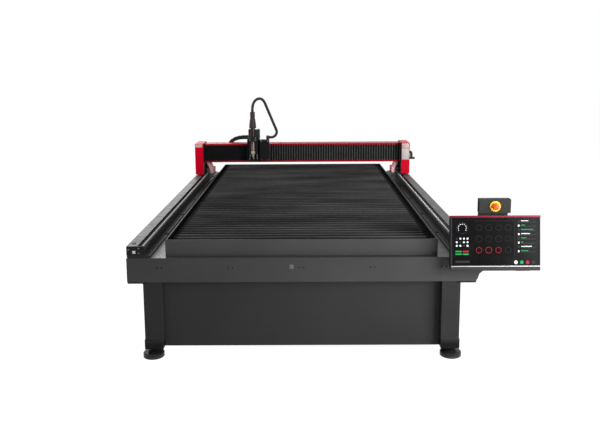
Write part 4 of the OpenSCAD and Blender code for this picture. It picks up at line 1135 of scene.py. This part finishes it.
@dataclass
class Console:
    """Trim and display of the touch console. What is lit is placed from the glass's lower left corner."""

    tilt: float = 8.0
    depth: float = 0.038
    width: float = 0.528
    bars: tuple[TrimBar, ...] = (
        TrimBar((-0.264, 0.264), (-0.0012, 0.012), (0.3135, 0.3245), BAR_RED, bevel=0.0006),
        TrimBar((-0.260, 0.262), (-0.0022, 0.0006), (0.0240, 0.0305), TRIM, bevel=0.0007),
        TrimBar((0.12, 0.20), (-0.0012, 0.01), (-0.0012, 0.0035), PLASTIC, bevel=0.0008))
    glass: float = 0.001
    glass_corner: Pair = (0.012, 0.026)
    tile_top: float = 0.0006
    tile_foot: float = 0.0001
    dot_top: float = 0.0007
    dot_thick: float = 0.0004
    layer_step: float = 0.0003
    dial: Pair = (0.058, 0.226)
    dial_radii: Pair = (0.034, 0.0315)
    dial_sides: int = 40
    dial_ticks: int = 9
    tick_circle: float = 0.024
    tick_radius: float = 0.003
    tick_angles: Pair = (210, 30)
    key_corner: Pair = (0.026, 0.164)
    key_pitch: float = 0.021
    key_radius: float = 0.0058
    bar_corner: Pair = (0.018, 0.084)
    bar_pitch: Pair = (0.042, 0.016)
    bar_size: Pair = (0.036, 0.009)
    long_bar_foot: float = 0.022
    long_bar_size: Pair = (0.084, 0.012)
    lamp_corner: Pair = (0.372, 0.024)
    lamp_pitch: float = 0.034
    lamp_radius: float = 0.0105
    gauges_shown: int = 8
    gauge_corner: Pair = (0.402, 0.258)
    gauge_pitch: float = 0.025
    gauge_size: Pair = (0.084, 0.0045)
    level_lift: float = 0.007
    level_least: float = 0.012
    level_step: float = 0.010
    mark_left: float = 0.384
    mark_size: Pair = (0.009, 0.0115)
    sheet_corner: Pair = (0.122, 0.060)
    sheet_size: Pair = (0.240, 0.206)
    sheet_line: float = 0.0014
    ring_corner: Pair = (0.034, 0.036)
    ring_pitch: Pair = (0.057, 0.066)
    ring_radii: Pair = (0.019, 0.0166)
    rings_cut: int = 3
    louvres: int = 10
    louvre_foot: float = 0.098
    louvre_pitch: float = 0.014
    louvre_half: float = 0.058
    louvre_height: float = 0.006
    louvre_rise: float = 0.0028
    louvre_root: float = 0.0005
    louvre_bevel: float = 0.0009
    vent_middle: float = 0.176
    screw_reach: float = 0.072
    screw_heights: Pair = (0.022, 0.300)
    screw_size: float = 0.009

    def face(self) -> Matrix:
        """Finds the frame of the monitor's front: X right, Z up along the glass, Y into it.

        Returns:
            Matrix from that frame to the table's.
        """
        low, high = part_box("monitor_housing")
        lean = math.radians(self.tilt)
        foot = Vector(((low.x + high.x) / 2, low.y, low.z + self.depth / 2 * math.sin(lean)))
        return Matrix.Translation(foot) @ Matrix.Rotation(-lean, 4, "X")

    def spot(self, x: float, y: float, z: float) -> Vector:
        """Returns the place on the monitor's front of a point given from the glass's corner."""
        return Vector((x - self.width / 2 + self.glass_corner[0], y, z + self.glass_corner[1]))

    def trim(self) -> None:
        """Builds the coloured edge, the silver line and the lip of the monitor."""
        shape = Shape("monitor_trim")
        for bar in self.bars:
            low, high = zip(bar.xs, bar.ys, bar.zs)
            shape.box(low, high, bar.finish, bar.bevel, self.face())
        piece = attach(shape.done(), "table")
        report(piece, "table")

    def tile(self, shape: Shape, x: float, z: float, w: float, h: float, finish: Finish) -> None:
        """Adds a lit area.

        Args:
            shape: Mesh of the lit areas.
            x: Place of its left side, rightwards from the glass's corner.
            z: Place of its foot, upwards from the glass's corner.
            w: Width.
            h: Height.
            finish: Finish of the area.
        """
        low = self.spot(x, self.glass - self.tile_top, z)
        high = self.spot(x + w, self.glass - self.tile_foot, z + h)
        shape.box(low, high, finish, turn=self.face())

    def dot(self, shape: Shape, x: float, z: float, r: float, finish: Finish, sides: int = 24,
            layer: int = 0) -> None:
        """Adds a round or many sided lit area.

        Args:
            shape: Mesh of the lit areas.
            x: Place of its middle, rightwards from the glass's corner.
            z: Place of its middle, upwards from the glass's corner.
            r: Radius.
            finish: Finish of the area.
            sides: Number of sides.
            layer: Number of areas that it lies on.
        """
        face = self.face()
        top = self.glass - self.dot_top - self.layer_step * layer
        shape.rod(face @ self.spot(x, top, z), face @ self.spot(x, top + self.dot_thick, z), r, finish, sides)

    def display(self) -> None:
        """Draws a plain cutting screen: dial and keys, a sheet with rings, gauges and four lamps."""
        shape = Shape("display_areas")
        self.keys(shape)
        self.nest(shape)
        self.gauges(shape)
        left, foot = self.lamp_corner
        for k, (tone, sides) in enumerate(((LIT_WHITE, 24), (LIT_GREEN, 24), (LIT_RED, 24), (LIT_LINE, 6))):
            self.dot(shape, left + self.lamp_pitch * k, foot, self.lamp_radius, tone, sides)
        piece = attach(shape.done(), "table")
        report(piece, "table")

    def keys(self, shape: Shape) -> None:
        """Draws a dial, a block of dot keys and two pairs of bars at the left.

        Args:
            shape: Mesh of the lit areas.
        """
        x, z = self.dial
        for layer, (radius, tone) in enumerate(zip(self.dial_radii, (LIT_LINE, GLASS))):
            self.dot(shape, x, z, radius, tone, self.dial_sides, layer)
        first, step = self.tick_angles
        for k in range(self.dial_ticks):
            turn = math.radians(first - step * k)
            self.dot(shape, x + self.tick_circle * math.cos(turn), z + self.tick_circle * math.sin(turn),
                     self.tick_radius, LIT_WHITE, 12, layer=2)
        left, top = self.key_corner
        for row, col in product(range(3), range(4)):
            self.dot(shape, left + self.key_pitch * col, top - self.key_pitch * row, self.key_radius,
                     LIT_WHITE if row != col else LIT_LINE)
        left, top = self.bar_corner
        for k, tone in enumerate((LIT_GREEN, LIT_RED, LIT_GREEN, LIT_GREEN)):
            row, col = divmod(k, 2)
            x, z = left + self.bar_pitch[0] * col, top - self.bar_pitch[1] * row
            self.tile(shape, x, z, *self.bar_size, tone)
        self.tile(shape, left, self.long_bar_foot, *self.long_bar_size, LIT_LINE)

    def gauges(self, shape: Shape) -> None:
        """Draws a stack of level bars down the right side.

        Args:
            shape: Mesh of the lit areas.
        """
        (left, top), (wide, thick) = self.gauge_corner, self.gauge_size
        for k in range(self.gauges_shown):
            z = top - self.gauge_pitch * k
            level = self.level_least + self.level_step * ((k * 5 + 3) % 7)
            self.tile(shape, left, z, wide, thick, LIT_LINE)
            self.tile(shape, left, z + self.level_lift, level, thick, LIT_GREEN if k % 3 else LIT_WHITE)
            self.tile(shape, self.mark_left, z, *self.mark_size, LIT_WHITE if k % 2 else LIT_LINE)

    def nest(self, shape: Shape) -> None:
        """Draws a sheet's outline with nested rings in the middle.

        Args:
            shape: Mesh of the lit areas.
        """
        (left, foot), (wide, tall), edge = self.sheet_corner, self.sheet_size, self.sheet_line
        self.tile(shape, left, foot, wide, tall, LIT_PANEL)
        for x, z, w, h in ((left, foot, wide, edge), (left, foot + tall, wide, edge),
                           (left, foot, edge, tall), (left + wide, foot, edge, tall)):
            self.tile(shape, x, z, w, h, LIT_LINE)
        for row, col in product(range(3), range(4)):
            x = left + self.ring_corner[0] + self.ring_pitch[0] * col
            z = foot + self.ring_corner[1] + self.ring_pitch[1] * row
            sides = 28 if (row + col) % 2 else 6
            tone = LIT_RED if row * 4 + col < self.rings_cut else LIT_GREY
            self.dot(shape, x, z, self.ring_radii[0], tone, sides, layer=1)
            self.dot(shape, x, z, self.ring_radii[1], LIT_PANEL, sides, layer=2)

    def back(self) -> None:
        """Builds the louvres and screws on the monitor's back, left and right of its bracket."""
        face, wall = self.face(), self.depth
        out = face.to_3x3() @ Vector(REAR)
        shape = Shape("monitor_louvres")
        for middle in (-self.vent_middle, self.vent_middle):
            for k in range(self.louvres):
                z = self.louvre_foot + self.louvre_pitch * k
                low = (middle - self.louvre_half, wall - self.louvre_root, z)
                high = (middle + self.louvre_half, wall + self.louvre_rise, z + self.louvre_height)
                shape.box(low, high, PLASTIC, self.louvre_bevel, face)
            for x, z in product((middle - self.screw_reach, middle + self.screw_reach), self.screw_heights):
                shape.head(Head.DOME, face @ Vector((x, wall, z)), out, self.screw_size, BOLT)
        report(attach(shape.done(), "table"), "table")

    def build(self) -> None:
        """Builds the console's trim, display and back."""
        self.trim()
        self.display()
        self.back()


@dataclass
class ShadeStrip:
    """A folded sheet that closes the slit between the pan's rear wall and the rear apron, a dark sheet put
    there for the shade under the table where the white floor would show.
    """

    sheet: float = 0.0015
    lap: float = 0.038
    flange: float = 0.022
    gap: float = 0.0002
    bevel: float = 0.0004
    screws: int = 7
    screw_size: float = 0.012

    def build(self) -> None:
        """Folds the strip and screws it to the apron."""
        half, wall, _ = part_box("water_pan")[1]
        edge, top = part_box("rear_apron")[0].y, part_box("rear_apron")[1].z
        front, upper = wall + self.gap, top + self.sheet
        shape = Shape("shade_strip")
        shape.box((-half, front, top), (half, edge + self.lap, upper), CHARCOAL, self.bevel)
        shape.box((-half, front, upper), (half, front + self.sheet, top + self.flange), CHARCOAL, self.bevel)
        for k in range(self.screws):
            x = half * (2 * (k + 0.5) / self.screws - 1)
            shape.head(Head.DOME, (x, edge + self.lap / 2, upper), UP, self.screw_size, BOLT)
        report(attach(shape.done(), "table"), "table")


@dataclass
class BarePlates:
    """Blank plates on the uprights and the front apron."""

    thick: float = 0.0008
    upright_size: Pair = (0.068, 0.108)
    strip_size: Pair = (0.068, 0.030)
    head_size: Pair = (0.068, 0.050)
    tag_size: Pair = (0.024, 0.026)
    top_margin: float = 0.005
    plate_gap: float = 0.002
    right_shift: float = 0.001
    left_shift: float = 0.003
    tag_place: Pair = (-0.060, 0.056)

    def plate(self, name: str, middle: Point, size: Pair, body: str, finish: Finish) -> None:
        """Sets a blank plate on a face that looks to the front.

        Args:
            name: Name of the piece.
            middle: Middle of the plate on the face.
            size: Width and height.
            body: Body that it rides on.
            finish: Finish of the plate.
        """
        x, y, z = middle
        w, h = size[0] / 2, size[1] / 2
        shape = Shape(name)
        shape.box((x - w, y - self.thick, z - h), (x + w, y, z + h), finish, self.thick / 4)
        report(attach(shape.done(), body), body)

    def build(self) -> None:
        """Builds the plates on both uprights and on the front apron."""
        low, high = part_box("right_upright")
        right, face = (low.x + high.x) / 2 - self.right_shift, low.y
        left, top = -right - self.left_shift, high.z - self.top_margin
        head, main, strip = self.head_size[1], self.upright_size[1], self.strip_size[1]
        main_top = top - head - self.plate_gap
        self.plate("right_head", (right, face, top - head / 2), self.head_size, "gantry", WARM_PLATE)
        self.plate("right_plate", (right, face, main_top - main / 2), self.upright_size, "gantry", PLATE)
        self.plate("left_plate", (left, face, top - strip / 2), self.strip_size, "gantry", WARM_PLATE)
        low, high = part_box("front_apron")
        x, drop = self.tag_place
        self.plate("apron_tag", (x, low.y, high.z - drop), self.tag_size, "table", TAG)


@dataclass(frozen=True)
class CornerScrews:
    """Four screws or plugs in the corners of a solid's face."""

    node: str
    face: Face
    inset: Pair
    head: Head
    size: float
    finish: Finish = BOLT
    upper: Finish | None = None

    def build(self, shape: Shape) -> None:
        """Adds the four heads to a mesh.

        Args:
            shape: Mesh of the body's screws.
        """
        low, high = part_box(self.node)
        axis, way = self.face.value
        across, along = (a.value for a in Axis if a is not axis)
        out = way * Vector(tuple(a is axis for a in Axis))
        for first, second in product((False, True), (False, True)):
            seat = (high if way > 0 else low).copy()
            seat[across] = high[across] - self.inset[0] if first else low[across] + self.inset[0]
            seat[along] = high[along] - self.inset[1] if second else low[along] + self.inset[1]
            shape.head(self.head, seat, out, self.size, self.upper if second and self.upper else self.finish)


@dataclass
class Fasteners:
    """Screws that hold covers, caps, blocks and brackets, and the plugs of the rail covers."""

    end_cap_spots: tuple[Pair, ...] = ((0.012, 0.690), (0.074, 0.668), (0.074, 0.698))
    end_cap_size: float = 0.011
    rail_bolts: int = 5
    rail_bolt_size: float = 0.016
    rail_bolt_inset: float = 0.133
    rail_bolt_seat: float = 0.650
    rail_bolt_first: float = 0.72
    rail_bolt_step: float = 0.36
    rail_bolt_shift: float = 0.1
    bracket_bolt_size: float = 0.018
    bracket_sheet: float = 0.006
    bracket_ys: Pair = (0.035, 0.105)
    bracket_zs: Pair = (0.035, 0.115)
    upright_size: float = 0.014
    upright_low: tuple[Pair, ...] = ((0.03, 0.035), (0.24, 0.025))
    upright_high: tuple[Pair, ...] = ((0.03, 0.03), (0.225, 0.03))
    cover_screws: int = 9
    cover_size: float = 0.012
    cover_inset: float = 0.05
    slide_size: float = 0.008
    slide_inset: float = 0.012
    slide_zs: Pair = (0.015, 0.04)
    table_corners: tuple[CornerScrews, ...] = (
        CornerScrews("rail_covers", Face.TOP, (0.0325, 0.060), Head.PLUG, 0.026, PLUG),
        CornerScrews("drive_cabinet", Face.RIGHT, (0.04, 0.04), Head.DOME, 0.014))
    carriage_corners: tuple[CornerScrews, ...] = (
        CornerScrews("lift_motor", Face.TOP, (0.012, 0.012), Head.CAP, 0.009),
        CornerScrews("motor_cover", Face.FRONT, (0.012, 0.012), Head.DOME, 0.010, upper=SILVER),
        CornerScrews("lifter_frame", Face.FRONT, (0.010, 0.005), Head.CAP, 0.007))
    lift_corners: tuple[CornerScrews, ...] = (
        CornerScrews("torch_clamp", Face.FRONT, (0.007, 0.012), Head.CAP, 0.008, SILVER),)

    def rails(self, shape: Shape) -> None:
        """Adds the screws of the rails and their end caps.

        Args:
            shape: Mesh of the table's screws.
        """
        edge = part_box("front_apron")[1].x
        low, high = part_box("rail_end_caps")
        for side in (-1, 1):
            for (out, y), (inset, z) in product(((FRONT, low.y), (REAR, high.y)), self.end_cap_spots):
                shape.head(Head.DOME, (side * (edge - inset), y, z), out, self.end_cap_size, BOLT)
            for k in range(self.rail_bolts):
                y = low.y * (self.rail_bolt_first - self.rail_bolt_step * k) + self.rail_bolt_shift
                seat = (side * (edge - self.rail_bolt_inset), y, self.rail_bolt_seat)
                shape.head(Head.CAP, seat, UP, self.rail_bolt_size, BOLT)

    def table(self) -> None:
        """Builds the screws of the rails, the console bracket and the cabinet, and the covers' plugs."""
        shape = Shape("table_screws")
        self.rails(shape)
        low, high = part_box("front_apron")
        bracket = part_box("console_bracket")[0].y
        for y, z in product(self.bracket_ys, self.bracket_zs):
            seat = (high.x + self.bracket_sheet, bracket + y, low.z + z)
            shape.head(Head.CAP, seat, RIGHT, self.bracket_bolt_size, BOLT)
        for corners in self.table_corners:
            corners.build(shape)
        report(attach(shape.done(), "table"), "table")

    def gantry(self) -> None:
        """Builds the screws of the uprights and of the beam's covers."""
        shape = Shape("gantry_screws")
        low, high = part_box("right_upright")
        spots = [(y, low.z + z) for y, z in self.upright_low]
        spots += [(y, high.z - z) for y, z in self.upright_high]
        for side, (y, z) in product((-1, 1), spots):
            shape.head(Head.DOME, (side * high.x, low.y + y, z), (side, 0, 0), self.upright_size, BOLT)
        low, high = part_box("beam_covers")
        for k in range(self.cover_screws):
            x = low.x + (high.x - low.x) * (k + 0.5) / self.cover_screws
            shape.head(Head.DOME, (x, high.y - self.cover_inset, high.z), UP, self.cover_size, BOLT)
        report(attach(shape.done(), "gantry"), "gantry")

    def carriage(self) -> None:
        """Builds the screws of the lifter, its motor and the cover beside it."""
        shape = Shape("carriage_screws")
        for corners in self.carriage_corners:
            corners.build(shape)
        report(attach(shape.done(), "carriage"), "carriage")

    def lift(self) -> None:
        """Builds the screws of the torch clamp and its plate."""
        shape = Shape("lift_screws")
        for corners in self.lift_corners:
            corners.build(shape)
        low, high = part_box("lift_slide")
        for x, z in product((low.x + self.slide_inset, high.x - self.slide_inset), self.slide_zs):
            shape.head(Head.CAP, (x, low.y, low.z + z), FRONT, self.slide_size, BOLT)
        report(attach(shape.done(), "lift"), "lift")

    def build(self) -> None:
        """Builds all screws."""
        self.table()
        self.gantry()
        self.carriage()
        self.lift()


@dataclass
class PhotoCamera:
    """A camera at the photograph's place, with its focal length and frame in the photograph's pixels."""

    place: Point = (0.0221, -5.7202, 1.7809)
    pitch: float = 8.772
    yaw: float = 0.3875
    roll: float = -0.358
    focal: float = 691.30
    centre_row: float = 172.0
    frame_size: tuple[int, int] = (600, 429)
    sensor: float = 36.0
    sight: float = 200

    def build(self) -> None:
        """Makes the camera and hands it to the scene."""
        pitch, yaw, roll = (math.radians(a) for a in (self.pitch, self.yaw, self.roll))
        ahead = Vector((-math.sin(yaw) * math.cos(pitch), math.cos(yaw) * math.cos(pitch), -math.sin(pitch)))
        right = Vector((math.cos(yaw), math.sin(yaw), 0))
        up = right.cross(ahead)
        tilted = math.cos(roll) * right + math.sin(roll) * up
        up = math.cos(roll) * up - math.sin(roll) * right
        wide, tall = self.frame_size
        data = bpy.data.cameras.new("photo_camera")
        data.sensor_width = self.sensor
        data.lens = self.focal * self.sensor / wide
        data.shift_y = (self.centre_row - tall / 2) / wide
        data.clip_end = self.sight
        camera = bpy.data.objects.new("photo_camera", data)
        turn = Matrix((tilted, up, -ahead)).transposed().to_4x4()
        camera.matrix_world = Matrix.Translation(self.place) @ turn
        bpy.context.scene.collection.objects.link(camera)
        bpy.context.scene.camera = camera


@dataclass(frozen=True)
class Lamp:
    """A soft square lamp: where it hangs and points, its side in metres and its power in watts."""

    name: str
    place: Point
    aim: Point
    size: float
    power: float

    def hang(self) -> None:
        """Adds the lamp to the scene, unseen by the camera."""
        data = bpy.data.lights.new(self.name, "AREA")
        data.size = self.size
        data.energy = self.power
        lamp = bpy.data.objects.new(self.name, data)
        lamp.location = self.place
        lamp.visible_camera = False
        lamp.rotation_mode = "QUATERNION"
        lamp.rotation_quaternion = (Vector(self.aim) - Vector(self.place)).to_track_quat("-Z", "Y")
        bpy.context.scene.collection.objects.link(lamp)


@dataclass
class Studio:
    """White floor, white surround and soft lamps."""

    floor_size: float = 60.0
    floor_bounce: float = 0.85
    floor_white: float = 0.94
    floor_shade: float = 0.24
    ambient: float = 0.25
    lamps: tuple[Lamp, ...] = (
        Lamp("key_right", (2.8, -3.5, 1.3), (0.5, -1.2, 0.6), size=2.0, power=180),
        Lamp("fill_left", (-6.0, -5.0, 3.0), (0.0, -0.3, 0.6), size=4.0, power=32),
        Lamp("top", (-2.5, 0.3, 4.4), (0.0, 0.3, 0.6), size=4.0, power=145),
        Lamp("back", (-2.5, 7.0, 3.5), (0.0, 1.0, 0.8), size=3.0, power=60))

    def backdrop(self, tree: Tree, lighting: Socket, shown: Socket) -> Socket:
        """Chooses between two shaders by whether a ray shows the backdrop.

        Args:
            tree: Node tree of the floor or the world.
            lighting: Shader for the rays that only carry light to the object.
            shown: Shader for the rays from the camera, a reflection or glass.

        Returns:
            Socket of the chosen shader.
        """
        path = tree.add("ShaderNodeLightPath")
        share = path.outputs["Is Camera Ray"]
        for name in ("Is Glossy Ray", "Is Transmission Ray"):
            either = tree.add("ShaderNodeMath", {0: share, 1: path.outputs[name]}, operation="MAXIMUM")
            share = either.outputs["Value"]
        return tree.add("ShaderNodeMixShader", {"Fac": share, 1: lighting, 2: shown}).outputs["Shader"]

    def floor(self) -> None:
        """Lays a pale floor that shows white and keeps a soft shadow."""
        half = self.floor_size / 2
        corners = [(-half, -half, 0), (half, -half, 0), (half, half, 0), (-half, half, 0)]
        data = bpy.data.meshes.new("floor")
        data.from_pydata(corners, [], [(0, 1, 2, 3)])
        floor = bpy.data.objects.new("floor", data)
        bpy.context.scene.collection.objects.link(floor)
        material = bpy.data.materials.new("floor_white")
        material.use_nodes = True
        tree = Tree(material.node_tree)
        plain = tree.add("ShaderNodeBsdfDiffuse", {"Color": (*grey(self.floor_bounce), 1)})
        shadow = tree.add("ShaderNodeBsdfDiffuse", {"Color": (*grey(self.floor_shade), 1)})
        white = tree.add("ShaderNodeEmission", {"Strength": self.floor_white})
        lit = tree.add("ShaderNodeAddShader", {0: shadow.outputs["BSDF"], 1: white.outputs["Emission"]})
        chosen = self.backdrop(tree, plain.outputs["BSDF"], lit.outputs["Shader"])
        tree.add("ShaderNodeOutputMaterial", {"Surface": chosen})
        data.materials.append(material)

    def surround(self) -> None:
        """Sets the world: white where it is seen, a softer grey where it lights."""
        world = bpy.data.worlds.new("studio")
        bpy.context.scene.world = world
        world.use_nodes = True
        tree = Tree(world.node_tree)
        dim = tree.add("ShaderNodeBackground", {"Color": (1, 1, 1, 1), "Strength": self.ambient})
        bright = tree.add("ShaderNodeBackground", {"Color": (1, 1, 1, 1)})
        chosen = self.backdrop(tree, dim.outputs["Background"], bright.outputs["Background"])
        tree.add("ShaderNodeOutputWorld", {"Surface": chosen})

    def build(self) -> None:
        """Builds the floor, the surround and the lamps."""
        bpy.context.scene.view_settings.view_transform = "Standard"
        self.floor()
        self.surround()
        for lamp in self.lamps:
            lamp.hang()


def write_sizes() -> None:
    """Updates the view layer."""
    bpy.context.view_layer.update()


def main() -> None:
    """Builds the camera, lead, finishes, pleats, console, strip, plates, screws and studio, in this order."""
    logging.basicConfig(level=logging.INFO, format="%(name)s %(message)s")
    PhotoCamera().build()
    TorchLead().build()
    Dressing().apply()
    pleats = Bellows()
    pleats.build("pleats_left", "left_bellows", PLEATS, fixed_first=True)
    pleats.build("pleats_right", "right_bellows", LIT_SIDE_PLEATS, fixed_first=False)
    Console().build()
    ShadeStrip().build()
    BarePlates().build()
    Fasteners().build()
    Studio().build()
    write_sizes()


if __name__ == "__main__":
    main()
